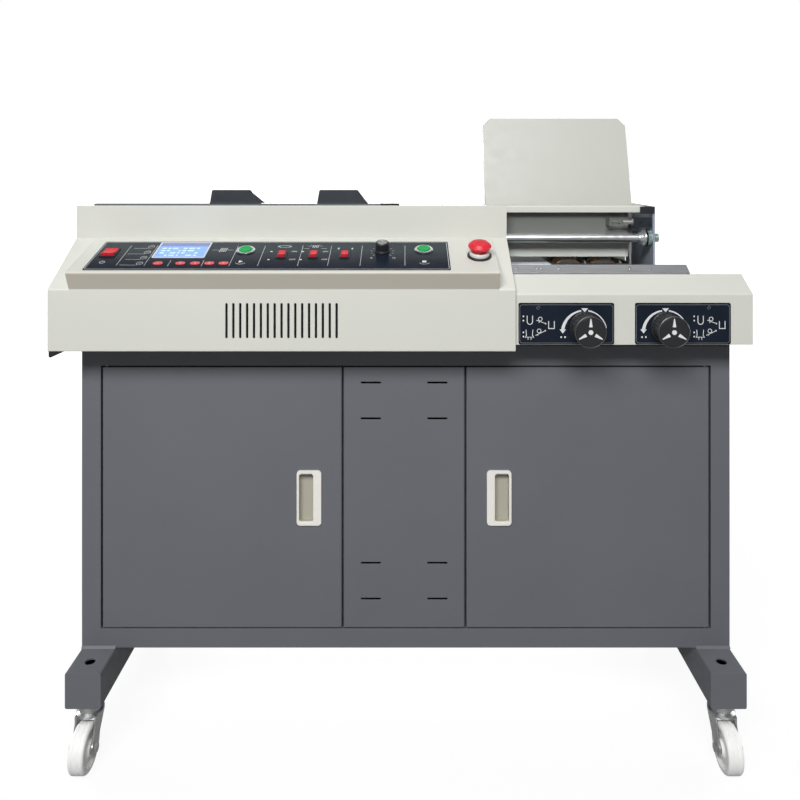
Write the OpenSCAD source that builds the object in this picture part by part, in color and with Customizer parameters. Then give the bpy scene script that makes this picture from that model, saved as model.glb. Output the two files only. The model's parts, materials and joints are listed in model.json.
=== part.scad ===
// Floor-standing perfect binding machine on a castered cabinet.
// Millimetres, +Z up, front of the machine towards -Y.
// Construction frame: X = 0 on the cabinet's centre line, Y = 0 on the cabinet's front face, Z = 0 on the
// floor. in_row_frame() moves that to the middle of the machine's footprint. What stands on the cabinet has
// its heights from the cabinet's top, and on_cabinet() moves it there.

/* [Cabinet] */
// Width of the cabinet
cab_w = 1139; // [1000:1:1300]
// Depth of the cabinet
cab_d = 360; // [340:1:420]
// Height of the cabinet, without its feet
cab_h = 535; // [450:1:650]
// Thickness of the cabinet's sheet steel
sheet = 2.5; // [1.5:0.1:3]
// Width of the front frame's uprights and of its bottom rail
stile_w = 33; // [25:1:45]
// Height of the front frame's top rail
header_h = 39; // [30:1:55]
// Depth of the front frame's folded edges
frame_fold = 20; // [19:1:30]
// Width of the bay behind the centre panel
centre_w = 216; // [160:1:260]
// Offset of the centre panel from the centre line
centre_x = -3; // [-30:1:30]

/* [Doors] */
// Gap round each door
door_gap = 3; // [2.6:0.1:5]
// Depth of the folded door pans
door_t = 18; // [16:0.5:19]
// Thickness of the door sheet
door_sheet = 1.5; // [1:0.1:2]
// Distance of the hinge axis from the door's edge and from its face
hinge_in = 6; // [5:0.1:7]
// Diameter of the hinge pins
hinge_d = 5; // [4:0.1:6]
// Height of the door pulls' centre over the floor
pull_z = 429; // [380:1:560]
// Width and height of a door pull's flange
pull_size = [43, 96.5];
// Width and height of a door pull's finger recess
recess_size = [25, 84];
// Depth of the finger recess
recess_deep = 13; // [8:0.5:14]
// Distance of a door pull from the door's free edge
pull_in = 36; // [25:1:60]

/* [Feet] */
// Width and height of the square foot tubes
beam = 60; // [50:1:80]
// Wall of the foot tubes
beam_wall = 3; // [2:0.1:5]
// Length of the foot tubes
beam_l = 460; // [420:1:520]
// How far the foot tubes reach ahead of the cabinet
beam_front = 66.5; // [45:0.5:90]
// Diameter of the access holes in the tops of the foot tubes
access_d = 17.5; // [13:0.5:24]

/* [Casters] */
// Diameter of the caster wheels
wheel_d = 75; // [60:1:80]
// Width of the caster wheels
wheel_w = 26; // [20:1:30]
// Height of a caster, floor to top
caster_h = 105; // [100:1:120]
// Horizontal distance from the swivel axis to the wheel's axle
trail = 25.5; // [18:0.5:30]
// Distance of the swivel axes from the ends of the foot tubes
caster_in = 30; // [26:1:45]
// Diameter of the caster stems
stem_d = 12; // [10:1:14]
// Diameter of the wheel axles
axle_d = 8; // [6:0.5:10]

/* [Console cover] */
// How far the console cover overhangs the cabinet's left side
left_over = 29; // [15:1:45]
// Place of the joint between the console cover and the table cover
split_x = 183.5; // [120:0.5:240]
// Thickness of the covers
cover_t = 3; // [2:0.1:4]
// How far the console cover's front stands ahead of the cabinet
front_reach = 66.5; // [50:0.5:85]
// Height of the console cover's lower edge; this and the heights below are over the cabinet's top
skirt_z = 2; // [1:1:8]
// Height of the console cover's front fold
fold_z = 106; // [95:1:115]
// Distance of the upright wall behind the cabinet's front face
wall_y = 45.5; // [40:0.5:50]
// Height where the slope meets the upright wall
wall_fold_z = 181; // [170:1:190]
// Height of the upright wall's top
wall_top_z = 240; // [230:1:245]
// Left and right ends of the raised console
hood_x = [-563, 156];
// How far the console's lip stands ahead of the cover's front
lip_out = 15; // [8:0.5:20]
// Height of the console's lip
lip_z = 136; // [125:1:142]

/* [Console controls] */
// Left and right ends of the control overlay
overlay_x = [-538, 75];
// Lower and upper edges of the overlay, up the console's slope
overlay_v = [8.5, 117];
// Thickness of the overlay
overlay_t = 1; // [0.5:0.1:2]
// Power rocker, middle
power_pos = [-515, 72];
// Power rocker, width and length of the actuator
power_size = [22, 25];
// Small rockers, middles from left to right
rocker_pos = [[-215, 65], [-160, 65], [-106, 65]];
// Small rockers, width and length of the actuator
rocker_size = [11.5, 20];
// Resting tilt of the rockers, half of their throw
rocker_tilt = 8; // [5:0.5:10]
// Green push buttons, middles
button_pos = [[-280, 80], [31.5, 83]];
// Diameter of the push buttons' caps
button_d = 22; // [18:0.5:26]
// Width of the push buttons' bezel rings
bezel_w = 5; // [3:0.5:7]
// Force knob, middle
force_pos = [-41, 77];
// Diameter of the force knob
force_d = 26; // [20:1:32]
// Height of the force knob
force_h = 18; // [12:0.5:24]
// Emergency stop, middle
estop_pos = [127, 61];
// Diameter of the emergency stop's mushroom head
estop_d = 40; // [32:1:50]
// Travel of the emergency stop and of the push buttons
press = 4; // [3:0.5:5]
// Display window, left and lower corner
lcd_pos = [-434, 54];
// Display window, width and height
lcd_size = [86, 56];
// Status lamps, distance from the centre line
lamp_x = -450; // [-460:1:-440]
// Status lamps, places up the slope
lamp_v = [32, 53, 74, 96];
// Membrane keys, distances from the centre line
key_x = [-419, -381, -356, -332, -308];
// Membrane keys, place up the slope
key_v = 32; // [26:1:40]

/* [Table cover] */
// How far the table cover overhangs the cabinet's right side
right_over = 13; // [5:1:30]
// How far the table cover's front stands ahead of the cabinet
table_reach = 60.5; // [45:0.5:65]
// Thickness of the machine bed
bed_z = 12; // [9:1:15]
// Height of the table cover's front fold
table_fold_z = 97; // [85:1:105]
// Height of the table cover's ridge
ridge_z = 124; // [115:1:130]
// Distance of the ridge ahead of the cabinet's front face
ridge_in = 18; // [15:0.5:24]
// Left and right ends of the steel table rail
rail_x = [186, 493];
// Height of the steel table rail
rail_z = 138.5; // [132:0.5:141]
// Dial plates, left ends
dial_x = [189, 384.5];
// Dial plates, width and height
dial_size = [160.5, 69.5];

/* [Glue knobs] */
// Glue knobs, distances from the centre line
knob_x = [300, 435.5];
// Height of the glue knobs' axes
knob_z = 42; // [38:0.5:46]
// Diameter of the glue knobs
knob_d = 52; // [44:1:56]
// Length of the glue knobs
knob_l = 43; // [30:1:50]
// Diameter of the glue knobs' spindles
spindle_d = 10; // [6:0.5:12]

/* [Book carriage] */
// Left and right ends of the jaws
jaw_x = [90, 415];
// Right end of the carriage
carriage_x1 = 440; // [430:1:444]
// Height of the jaws' lower edges
jaw_z = 143; // [142:0.5:150]
// Distance of the front jaw's face bar behind the cabinet's front face
jaw_y = 66; // [65.5:0.5:70]
// Greatest opening between the jaws
jaw_open = 44; // [30:1:50]
// Front face of the rear jaw
rear_jaw_y = 139; // [136:1:142]
// Diameter of the guide shafts
shaft_d = 16; // [12:1:20]
// Places of the guide shafts behind the cabinet's front face
shaft_y = [58, 196];
// Height of the guide shafts
shaft_z = 180; // [176:1:184]
// Left and right ends of the backrest
back_x = [155, 439.5];
// Height of the backrest's top
back_top_z = 407; // [300:1:500]
// How far the backrest leans back at its top
back_lean = 51; // [30:1:70]
// Inner face of the right end bracket
bracket_x = 450; // [446:1:455]
// Thickness of the end brackets
bracket_t = 3.5; // [3:0.1:6]

/* [Glue and milling stations] */
// Left and right ends of the glue tank
tank_x = [271, 423];
// Front and rear faces of the glue tank
tank_y = [80, 154];
// Wall of the glue tank
tank_wall = 6; // [4:0.5:8]
// Height of the glue tank's rim
tank_z = 130; // [120:1:134]
// Diameter of the glue rollers
roller_d = 54; // [44:1:56]
// Height of the tops of the glue rollers
roller_top_z = 138; // [134:0.5:141]
// Distances of the glue rollers from the centre line
roller_x = [306, 372];
// Middle of the milling cutter
cutter_pos = [120, 117];
// Diameter over the milling cutter's teeth
cutter_d = 110; // [90:1:116]
// Teeth of the milling cutter
cutter_teeth = 12; // [6:1:16]
// Height of the milling cutter's tooth tips
cutter_z = 140; // [134:0.5:141]
// Left and right ends of the cover table
nip_x = [-520, -60];
// Height of the cover table's top
nip_z = 134; // [128:0.5:134]

/* [Cover guide] */
// Left and right ends of the guide rail on the wall
guide_x = [-568, -12];
// Depth and height of the guide rail
guide_size = [13, 13];
// Left ends of the sliding wings
wing_x = [-358, -162];
// Width of a wing at its foot
wing_w = 92; // [60:1:120]
// Height of a wing over the rail
wing_h = 25; // [15:1:40]

/* [Rear cover] */
// Front face of the rear cover
rear_y = 240; // [235:1:250]
// Height of the rear cover
rear_z = 200; // [180:1:215]

/* [Hidden] */
$fn = 48;

// Colours
frame_grey = [0.36, 0.38, 0.41];
cover_beige = [0.82, 0.81, 0.77];
panel_black = [0.09, 0.10, 0.13];
steel = [0.72, 0.73, 0.75];
dark_steel = [0.28, 0.30, 0.33];
nylon_white = [0.93, 0.93, 0.90];
signal_red = [0.80, 0.12, 0.14];
signal_green = [0.10, 0.55, 0.28];

// Clearances: a turning or sliding fit, the gap between moving neighbours, and the glue under the overlay
fit = 0.08;
gap = 0.3;
film_gap = 0.02;

// Cabinet heights and the front opening
cab_z0 = caster_h + beam;
cab_z1 = cab_z0 + cab_h;
door_z0 = cab_z0 + stile_w;
door_z1 = cab_z1 - header_h;
open_x = cab_w / 2 - stile_w;
bay_x = [centre_x - centre_w / 2, centre_x + centre_w / 2];
left_door_x = [-open_x + door_gap, bay_x[0] - door_gap / 2];
right_door_x = [bay_x[1] + door_gap / 2, open_x - door_gap];
door_z = [door_z0 + door_gap, door_z1 - door_gap];
stop_y = door_t + gap;

// Outer ends of the covers, and the move from the construction frame to the row frame
cover_x0 = -cab_w / 2 - left_over;
table_x1 = cab_w / 2 + right_over;
knob_front = table_reach + knob_l;
cab_x = (left_over - right_over) / 2;
cab_y = (knob_front + beam_front - beam_l) / 2;

// Console slope
lip_y = -front_reach - lip_out;
slope = atan2(wall_fold_z - lip_z, wall_y - lip_y);
wall_back = wall_y + cover_t;
bed_x = [cover_x0 + cover_t + 8, table_x1 - 22];
bed_y = [-ridge_in - 2, beam_l - beam_front - 14];
rear_back = bed_y[1] + 2 + cover_t;
side_cover_x = bracket_x + bracket_t + 2.5;

module in_row_frame() {
  translate([cab_x, cab_y, 0]) children();
}

// Frame of everything on the cabinet: heights from the cabinet's top
module on_cabinet() {
  translate([cab_x, cab_y, cab_z1]) children();
}

// Box between two corners
module block(a, b) {
  translate(a) cube(b - a);
}

// Outline in Y and Z, drawn out along X
module along_x(x0, x1) {
  translate([x0, 0, 0]) rotate([90, 0, 90]) linear_extrude(x1 - x0) children();
}

// Round bar along X, Y or Z from a start point
module bar_x(p, d, l) {
  translate(p) rotate([0, 90, 0]) cylinder(h = l, d = d);
}

module bar_y(p, d, l) {
  translate(p) rotate([-90, 0, 0]) cylinder(h = l, d = d);
}

module bar_z(p, d, l) {
  translate(p) cylinder(h = l, d = d);
}

// Place on the console's slope: across, up the slope, and height over the sheet
module on_console(p, w = 0) {
  translate([0, lip_y, lip_z]) rotate([slope, 0, 0]) translate([p[0], p[1], w]) children();
}

function unit(v) = v / norm(v);

// Corner b between a and c, moved inward by d; outlines run anticlockwise
function inset_corner(a, b, c, d) =
  let (u = unit(b - a), v = unit(c - b), n1 = [-u[1], u[0]], n2 = [-v[1], v[0]])
  b + d * (n1 + n2) / (1 + n1 * n2);

function inset(p, d) =
  let (n = len(p)) [for (i = [0:n - 1]) inset_corner(p[(i + n - 1) % n], p[i], p[(i + 1) % n], d)];

// Arc of radius r in place of corner b, in four steps
function arc(a, b, c, r) =
  let (
    u = unit(a - b), v = unit(c - b), half = acos(u * v) / 2,
    m = b + unit(u + v) * r / sin(half),
    p = b + u * r / tan(half) - m, q = b + v * r / tan(half) - m,
    a0 = atan2(p[1], p[0]), turn = atan2(q[1], q[0]) - a0,
    sweep = turn > 180 ? turn - 360 : turn < -180 ? turn + 360 : turn
  )
  [for (i = [0:4]) m + r * [cos(a0 + sweep * i / 4), sin(a0 + sweep * i / 4)]];

// Outline with its corners rounded by the radii in r; 0 keeps a corner sharp
function rounded(p, r) =
  let (n = len(p))
  [for (i = [0:n - 1])
    each r[i] > 0 ? arc(p[(i + n - 1) % n], p[i], p[(i + 1) % n], r[i]) : [p[i]]];

// Rectangle with rounded corners, centred
module rounded_plate(size, r) {
  x = size[0] / 2;
  y = size[1] / 2;
  polygon(rounded([[-x, -y], [x, -y], [x, y], [-x, y]], [r, r, r, r]));
}

// ---- Feet and casters ----

caster_x = cab_w / 2 - beam / 2;
caster_y = [-beam_front + caster_in, beam_l - beam_front - caster_in];
caster_at = [[-caster_x, caster_y[0]], [caster_x, caster_y[0]], [-caster_x, caster_y[1]],
  [caster_x, caster_y[1]]];
wheel_r = wheel_d / 2;
head_r = beam / 2 - 10;
leg_t = 3;
leg_x = wheel_w / 2 + 2;
bead = 4;

module foot_tube(side) {
  x = side * caster_x;
  difference() {
    along_foot(x, beam, -beam_front, beam_l - beam_front);
    along_foot(x, beam - 2 * beam_wall, -beam_front + beam_wall, beam_l - beam_front - beam_wall);
    for (y = caster_y) {
      bar_z([x, y, cab_z0 - beam_wall - 1], access_d, beam_wall + 2);
      bar_z([x, y, caster_h - 1], stem_d, beam_wall + 2);
    }
  }
  translate([x, 0, cab_z0])
    rotate([90, 0, -90])
      translate([0, 0, -beam / 2])
        linear_extrude(beam) polygon([[0, 0], [bead, 0], [0, bead]]);
}

// Square tube section with rounded edges, along Y
module along_foot(x, size, y0, y1) {
  translate([x, y1, caster_h + beam / 2]) rotate([90, 0, 0])
    linear_extrude(y1 - y0) rounded_plate([size, size], 3);
}

module foot_beams() {
  color(frame_grey) in_row_frame() {
    foot_tube(-1);
    foot_tube(1);
  }
}

// Stem with its rivet head under the fork and its washer and nut inside the foot tube
module caster_stems() {
  color(steel) in_row_frame() for (p = caster_at) {
    translate([p[0], p[1], 0]) {
      bar_z([0, 0, caster_h - 28], 20, 28 - 24 - gap);
      bar_z([0, 0, caster_h - 26], stem_d, 26 + beam_wall + 12);
      bar_z([0, 0, caster_h + beam_wall], stem_d * 2, 2);
      translate([0, 0, caster_h + beam_wall + 2]) cylinder(h = 8, d = stem_d * 1.75, $fn = 6);
    }
  }
}

// Double ball race, round in plan, bored for the stem
module fork_head() {
  top = caster_h - gap;
  difference() {
    rotate_extrude()
      polygon([
        [0, top - 24], [head_r + 2, top - 24], [head_r + 2, top - 20], [head_r - 2, top - 17],
        [head_r - 2, top - 14], [head_r + 1, top - 12], [head_r + 1, top - 6], [head_r - 2, top - 3],
        [head_r - 4, top], [0, top]
      ]);
    bar_z([0, 0, top - 25], stem_d + 2 * fit, 26);
  }
}

// Side plate of the fork, from the head down to the axle
module fork_leg(side) {
  z1 = caster_h - gap - 24;
  x = side > 0 ? leg_x : -leg_x - leg_t;
  difference() {
    union() {
      along_x(x, x + leg_t)
        polygon([
          [-trail - 11, wheel_r - 3], [-trail + 10, wheel_r - 4], [17, z1 - 5], [17, z1 + 3],
          [-20, z1 + 3], [-20, z1 - 9]
        ]);
      bar_x([x, -trail, wheel_r], 22, leg_t);
    }
    bar_x([x - 1, -trail, wheel_r], axle_d, leg_t + 2);
  }
}

// Fork with its axle bolt, bolt head and nut
module caster_fork(i) {
  p = caster_at[i - 1];
  color(steel) in_row_frame() translate([p[0], p[1], 0]) {
    fork_head();
    fork_leg(-1);
    fork_leg(1);
    bar_x([-leg_x - leg_t, -trail, wheel_r], axle_d, 2 * (leg_x + leg_t));
    for (side = [-1, 1])
      translate([side * (leg_x + leg_t + 2.5) - 2.5, -trail, wheel_r])
        rotate([0, 90, 0]) cylinder(h = 5, d = axle_d * 1.8, $fn = 6);
  }
}

// Tread profile: rounded shoulders and two shallow ring grooves
module wheel_section() {
  w = wheel_w / 2;
  r = wheel_r;
  polygon(concat(
    [[axle_d / 2 + fit, -w - 1], [12, -w - 1], [14, -w + 3], [24, -w + 4], [r - 8, -w]],
    [for (a = [-80:20:-10]) [r - 5 + 5 * cos(a), -w + 5 + 5 * sin(a)]],
    [[r, -6], [r - 1, -5], [r, -4], [r, 4], [r - 1, 5], [r, 6]],
    [for (a = [10:20:80]) [r - 5 + 5 * cos(a), w - 5 + 5 * sin(a)]],
    [[r - 8, w], [24, w - 4], [14, w - 3], [12, w + 1], [axle_d / 2 + fit, w + 1]]
  ));
}

module caster_wheel(i) {
  p = caster_at[i - 1];
  color(nylon_white) in_row_frame()
    translate([p[0], p[1] - trail, wheel_r]) rotate([0, 90, 0]) rotate_extrude($fn = 72) wheel_section();
}

// ---- Cabinet ----

back_slot_w = 60;

// Sides, floor and slotted back, open at the top and towards the front frame
module cabinet_shell() {
  x = cab_w / 2;
  color(frame_grey) in_row_frame() difference() {
    block([-x, sheet, cab_z0], [x, cab_d, cab_z1]);
    block([-x + sheet, sheet - 1, cab_z0 + sheet], [x - sheet, cab_d - sheet, cab_z1 + 1]);
    for (side = [-1, 1], row = [0:5])
      translate([side * cab_w / 4, cab_d, cab_z1 - 90 - row * 16]) back_slot();
  }
}

// Cooling slot through the back, with round ends
module back_slot() {
  rotate([90, 0, 0]) translate([0, 0, -1]) linear_extrude(sheet + 2) {
    square([back_slot_w, 5], center = true);
    for (side = [-1, 1]) translate([side * back_slot_w / 2, 0]) circle(d = 5, $fn = 24);
  }
}

strip_w = 28;

// Welded front frame, folded inwards round the opening, and the upright walls between the bays, with
// the strips that the doors shut against
module front_frame() {
  color(frame_grey) in_row_frame() {
    difference() {
      union() {
        block([-cab_w / 2, 0, cab_z0], [cab_w / 2, sheet, cab_z1]);
        block([-open_x - sheet, 0, door_z0 - sheet], [open_x + sheet, frame_fold, door_z1 + sheet]);
      }
      block([-open_x, -1, door_z0], [open_x, frame_fold + 1, door_z1]);
      for (x = hinge_x, z = [door_z0 - sheet - 1, door_z1 - 1])
        bar_z([x, hinge_in, z], hinge_d, sheet + 2);
    }
    for (x = bay_x) {
      block([x - sheet / 2, frame_fold, cab_z0 + sheet], [x + sheet / 2, cab_d - sheet, cab_z1]);
      block([x - sheet / 2, stop_y, door_z0], [x + sheet / 2, frame_fold + 1, door_z1]);
      block([x - strip_w / 2, stop_y, door_z0], [x + strip_w / 2, stop_y + sheet, door_z1]);
    }
  }
}

hinge_x = [left_door_x[0] + hinge_in, right_door_x[1] - hinge_in];

// Folded sheet pan, open at the back; the front edges have a bend radius
module pan(x, depth) {
  h = door_z[1] - door_z[0];
  s = door_sheet;
  translate([0, 0, door_z[0]]) difference() {
    linear_extrude(h)
      polygon(rounded([[x[0], 0], [x[1], 0], [x[1], depth], [x[0], depth]], [2.5, 2.5, 0, 0]));
    block([x[0] + s, s, s], [x[1] - s, depth + 1, h - s]);
  }
}

slot_rows = [-10, 53, 307, 370];
slot_size = [35.7, 3.5];

module centre_panel() {
  x = [bay_x[0] + door_gap / 2, bay_x[1] - door_gap / 2];
  color(frame_grey) in_row_frame() difference() {
    pan(x, stop_y);
    for (side = [-1, 1], row = slot_rows)
      translate([centre_x + side * 58.5, 1, door_z[0] + 50 + row - slot_rows[0]])
        rotate([90, 0, 0]) translate([0, 0, -2]) linear_extrude(4) {
          square([slot_size[0] - slot_size[1], slot_size[1]], center = true);
          for (end = [-1, 1])
            translate([end * (slot_size[0] - slot_size[1]) / 2, 0]) circle(d = slot_size[1], $fn = 24);
        }
  }
}

pin_head_d = hinge_d + 1.6;

// Pins with heads, through the frame's folded edges and into the doors
module hinge_pins() {
  color(steel) in_row_frame() for (x = hinge_x) {
    bar_z([x, hinge_in, door_z0 - sheet], hinge_d, sheet + door_gap + 10);
    bar_z([x, hinge_in, door_z0 - sheet - 2], pin_head_d, 2);
    bar_z([x, hinge_in, door_z1 - door_gap - 10], hinge_d, sheet + door_gap + 10);
    bar_z([x, hinge_in, door_z1 + sheet], pin_head_d, 2);
  }
}

pull_wall = 1.5;
pull_flange = 3;
pull_off = 5;

// Middle of a pull, for a door whose free edge is at x and that opens towards side
function pull_x(free_edge, side) = free_edge - side * (pull_in + pull_size[0] / 2);

// Door with hinge blocks in its corners and the cut-out for its pull
module door(x, hinge, free_edge, side) {
  px = pull_x(free_edge, side) - side * pull_off;
  cut = recess_size / 2 + [pull_wall + 0.2, pull_wall + 0.2];
  outer = hinge - side * hinge_in;
  inner = hinge + side * hinge_in;
  difference() {
    union() {
      pan(x, door_t);
      for (z = [door_z[0], door_z[1] - 14])
        block([min(outer, inner) + door_sheet / 2, door_sheet / 2, z],
          [max(outer, inner) - door_sheet / 2, 2 * hinge_in, z + 14]);
    }
    bar_z([hinge, hinge_in, door_z[0] - 1], hinge_d + 2 * fit, 13);
    bar_z([hinge, hinge_in, door_z[1] - 12], hinge_d + 2 * fit, 13);
    block([px - cut[0], -1, pull_z - cut[1]], [px + cut[0], door_t + 1, pull_z + cut[1]]);
  }
}

module left_door() {
  color(frame_grey) in_row_frame() door(left_door_x, hinge_x[0], left_door_x[1], 1);
}

module right_door() {
  color(frame_grey) in_row_frame() door(right_door_x, hinge_x[1], right_door_x[0], -1);
}

// Flush pull: a rounded flange on the door's face and a finger cup that reaches under its wide edge
module pull(free_edge, side) {
  x = pull_x(free_edge, side);
  translate([x, 0, pull_z]) rotate([90, 0, 0]) difference() {
    union() {
      linear_extrude(pull_flange) rounded_plate(pull_size, 6);
      translate([-side * pull_off, 0, -recess_deep])
        linear_extrude(recess_deep + 1)
          square(recess_size + 2 * [pull_wall, pull_wall], center = true);
    }
    translate([-side * pull_off, 0, pull_wall - recess_deep])
      linear_extrude(recess_deep + pull_flange) rounded_plate(recess_size, 4);
    translate([-side * pull_off, 0, pull_flange - 0.8])
      linear_extrude(2) rounded_plate(recess_size + [3, 3], 5);
  }
}

module left_pull() {
  color(cover_beige) in_row_frame() pull(left_door_x[1], 1);
}

module right_pull() {
  color(cover_beige) in_row_frame() pull(right_door_x[0], -1);
}

// ---- Bed and covers ----

// Machine bed on the cabinet, with the dust hole
module bed_plate() {
  color(dark_steel) on_cabinet() difference() {
    block([bed_x[0], bed_y[0], 0], [bed_x[1], bed_y[1], bed_z]);
    bar_z([cutter_pos[0], cutter_pos[1] + 75, -1], 40, bed_z + 2);
  }
}

main_slope = (wall_fold_z - fold_z) / (wall_y + front_reach);
hood_slope = (wall_fold_z - lip_z) / (wall_y - lip_y);
low = skirt_z - 40;
cavity_main = inset([[-front_reach, low], [wall_back, low], [wall_back, wall_fold_z + cover_t * main_slope],
  [-front_reach, fold_z]], cover_t);
cavity_hood = inset([[-front_reach, low], [wall_back, low], [wall_back, wall_fold_z + cover_t * hood_slope],
  [lip_y, lip_z], [-front_reach, fold_z]], cover_t);

vent_count = 17;
vent_pitch = 11.5;
vent_x0 = -299.5;
vent_z = [24, 83];
vent_w = 4;

// Upright slot with round ends through the console cover's front
module vent_slot(x) {
  r = vent_w / 2;
  block([x - r, -front_reach - 1, vent_z[0] + r], [x + r, -front_reach + cover_t + 1, vent_z[1] - r]);
  for (z = [vent_z[0] + r, vent_z[1] - r]) bar_y([x, -front_reach - 1, z], vent_w, cover_t + 2);
}

// Openings in the overlay and the cover for the controls' bodies
module control_holes(w0, h) {
  on_console(power_pos, w0) linear_extrude(h) square(housing_size(power_size) + [0.4, 0.4], center = true);
  for (p = rocker_pos)
    on_console(p, w0) linear_extrude(h) square(housing_size(rocker_size) + [0.4, 0.4], center = true);
  for (p = button_pos) on_console(p, w0) cylinder(h = h, d = button_d + 5.4);
  on_console(force_pos, w0) cylinder(h = h, d = bush_d + 0.4);
  on_console(estop_pos, w0) cylinder(h = h, d = estop_d * 0.75 + 0.4);
}

module left_cover() {
  t = cover_t;
  color(cover_beige) on_cabinet() difference() {
    union() {
      along_x(cover_x0, split_x)
        polygon(rounded([[-front_reach, skirt_z], [wall_back, skirt_z], [wall_back, wall_top_z],
          [wall_y, wall_top_z], [wall_y, wall_fold_z], [-front_reach, fold_z]], [1.5, 0, 1.2, 1.2, 0, 5]));
      along_x(hood_x[0], hood_x[1])
        polygon(rounded([[-front_reach, skirt_z + 5], [wall_y, skirt_z + 5], [wall_y, wall_fold_z],
          [lip_y, lip_z], [-front_reach, fold_z]], [0, 0, 0, 3, 0]));
    }
    along_x(cover_x0 + t, split_x - t) polygon(cavity_main);
    along_x(hood_x[0] + t, hood_x[1] - t) polygon(cavity_hood);
    for (i = [0:vent_count - 1]) vent_slot(vent_x0 + i * vent_pitch);
    control_holes(-20, 25);
    block([bed_x[0], bed_y[0], skirt_z - 1], [bed_x[1], bed_y[1], bed_z]);
  }
}

// Cover of the table side, with passages for the spindles of the glue knobs
module right_cover() {
  t = cover_t;
  back = -ridge_in + t;
  color(cover_beige) on_cabinet() difference() {
    along_x(split_x, table_x1)
      polygon(rounded([[-table_reach, bed_z], [back, bed_z], [back, ridge_z], [-ridge_in, ridge_z],
        [-table_reach, table_fold_z]], [0, 0, 0, 0, 4]));
    along_x(split_x + t, table_x1 - t)
      polygon(inset([[-table_reach, bed_z - 20], [back, bed_z - 20],
        [back, ridge_z + t * (ridge_z - table_fold_z) / (table_reach - ridge_in)],
        [-table_reach, table_fold_z]], t));
    for (x = knob_x) bar_y([x, -table_reach - 1, knob_z], spindle_d + 1, table_reach);
  }
}

louvre_w = 120;

// Rear cover with its left end panel and the low cover behind the table side
module rear_cover() {
  t = cover_t;
  side_top = ridge_z - 12;
  color(cover_beige) on_cabinet() difference() {
    union() {
      along_x(cover_x0, side_cover_x)
        polygon(rounded([[rear_y, bed_z], [rear_back, bed_z], [rear_back, rear_z - 25],
          [rear_back - 30, rear_z], [rear_y, rear_z]], [0, 0, 6, 6, 3]));
      block([cover_x0, wall_back, bed_z], [cover_x0 + t, rear_y + 1, rear_z]);
      along_x(side_cover_x - 1, table_x1)
        polygon(rounded([[-ridge_in + t, bed_z], [rear_back, bed_z], [rear_back, bed_z + 48],
          [-ridge_in + t, side_top]], [0, 0, 6, 0]));
    }
    along_x(cover_x0 + t, side_cover_x - t)
      polygon(inset([[rear_y, bed_z - 20], [rear_back, bed_z - 20], [rear_back, rear_z - 25],
        [rear_back - 30, rear_z], [rear_y, rear_z]], t));
    along_x(side_cover_x + t, table_x1 - t)
      polygon(inset([[-ridge_in + t, bed_z - 20], [rear_back, bed_z - 20], [rear_back, bed_z + 48],
        [-ridge_in + t, side_top]], t));
    for (x = [-330, -60, 210], row = [0:4])
      translate([x, rear_back + 1, bed_z + 50 + row * 14])
        rotate([90, 0, 0]) linear_extrude(t + 2) rounded_plate([louvre_w, 5], 2.4);
    block([side_cover_x - 2, -ridge_in, bed_z - 1], [rail_x[1] + gap, gap, ridge_z]);
    block(inlet_lo - [gap, 0, gap], inlet_hi + [gap, 1, gap]);
  }
}

inlet_x = -480;
inlet_z = bed_z + 50;
inlet_size = [28, 22];
inlet_lo = [inlet_x - inlet_size[0] / 2, rear_back - 20, inlet_z - inlet_size[1] / 2];
inlet_hi = [inlet_x + inlet_size[0] / 2, rear_back, inlet_z + inlet_size[1] / 2];

// Mains inlet: a flange with two screws, a recessed body and three blades
module mains_inlet() {
  color(panel_black) on_cabinet() {
    difference() {
      union() {
        block(inlet_lo, inlet_hi);
        translate([inlet_x, rear_back + 2, inlet_z]) rotate([90, 0, 0])
          linear_extrude(2) rounded_plate([50, 28], 5);
      }
      translate([inlet_x, rear_back + 3, inlet_z]) rotate([90, 0, 0]) linear_extrude(19)
        rounded_plate([24, 16], 3);
      for (side = [-1, 1]) bar_y([inlet_x + side * 20, rear_back - 1, inlet_z], 3.2, 4);
    }
    for (p = [[-7, -2], [0, 2], [7, -2]])
      block([inlet_x + p[0] - 1, rear_back - 16, inlet_z + p[1] - 2],
        [inlet_x + p[0] + 1, rear_back - 4, inlet_z + p[1] + 2]);
  }
}

// ---- Console ----

// Glossy black overlays: the control panel on the slope and the two dial plates
module control_overlays() {
  size = [overlay_x[1] - overlay_x[0], overlay_v[1] - overlay_v[0]];
  mid = [(overlay_x[0] + overlay_x[1]) / 2, (overlay_v[0] + overlay_v[1]) / 2];
  color(panel_black) on_cabinet() {
    difference() {
      on_console(mid, film_gap) linear_extrude(overlay_t - film_gap) rounded_plate(size, 3);
      control_holes(-1, 3);
    }
    for (i = [0, 1]) difference() {
      translate([dial_x[i] + dial_size[0] / 2, -table_reach, bed_z + 1 + dial_size[1] / 2])
        rotate([90, 0, 0]) linear_extrude(overlay_t) rounded_plate(dial_size, 3);
      bar_y([knob_x[i], -table_reach - 2, knob_z], spindle_d + 1, 3);
    }
  }
}

// Display window with its raised surround
module lcd_window() {
  mid = lcd_pos + lcd_size / 2;
  color([0.62, 0.78, 0.92]) on_cabinet() on_console(mid, overlay_t) {
    difference() {
      linear_extrude(1.2) rounded_plate(lcd_size + [5, 5], 2);
      translate([0, 0, 0.4]) linear_extrude(2) square(lcd_size, center = true);
    }
  }
}

module status_lamps() {
  color([0.75, 0.75, 0.72]) on_cabinet() for (v = lamp_v)
    on_console([lamp_x, v], overlay_t) linear_extrude(0.6) rounded_plate([10, 6], 2.9);
}

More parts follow.
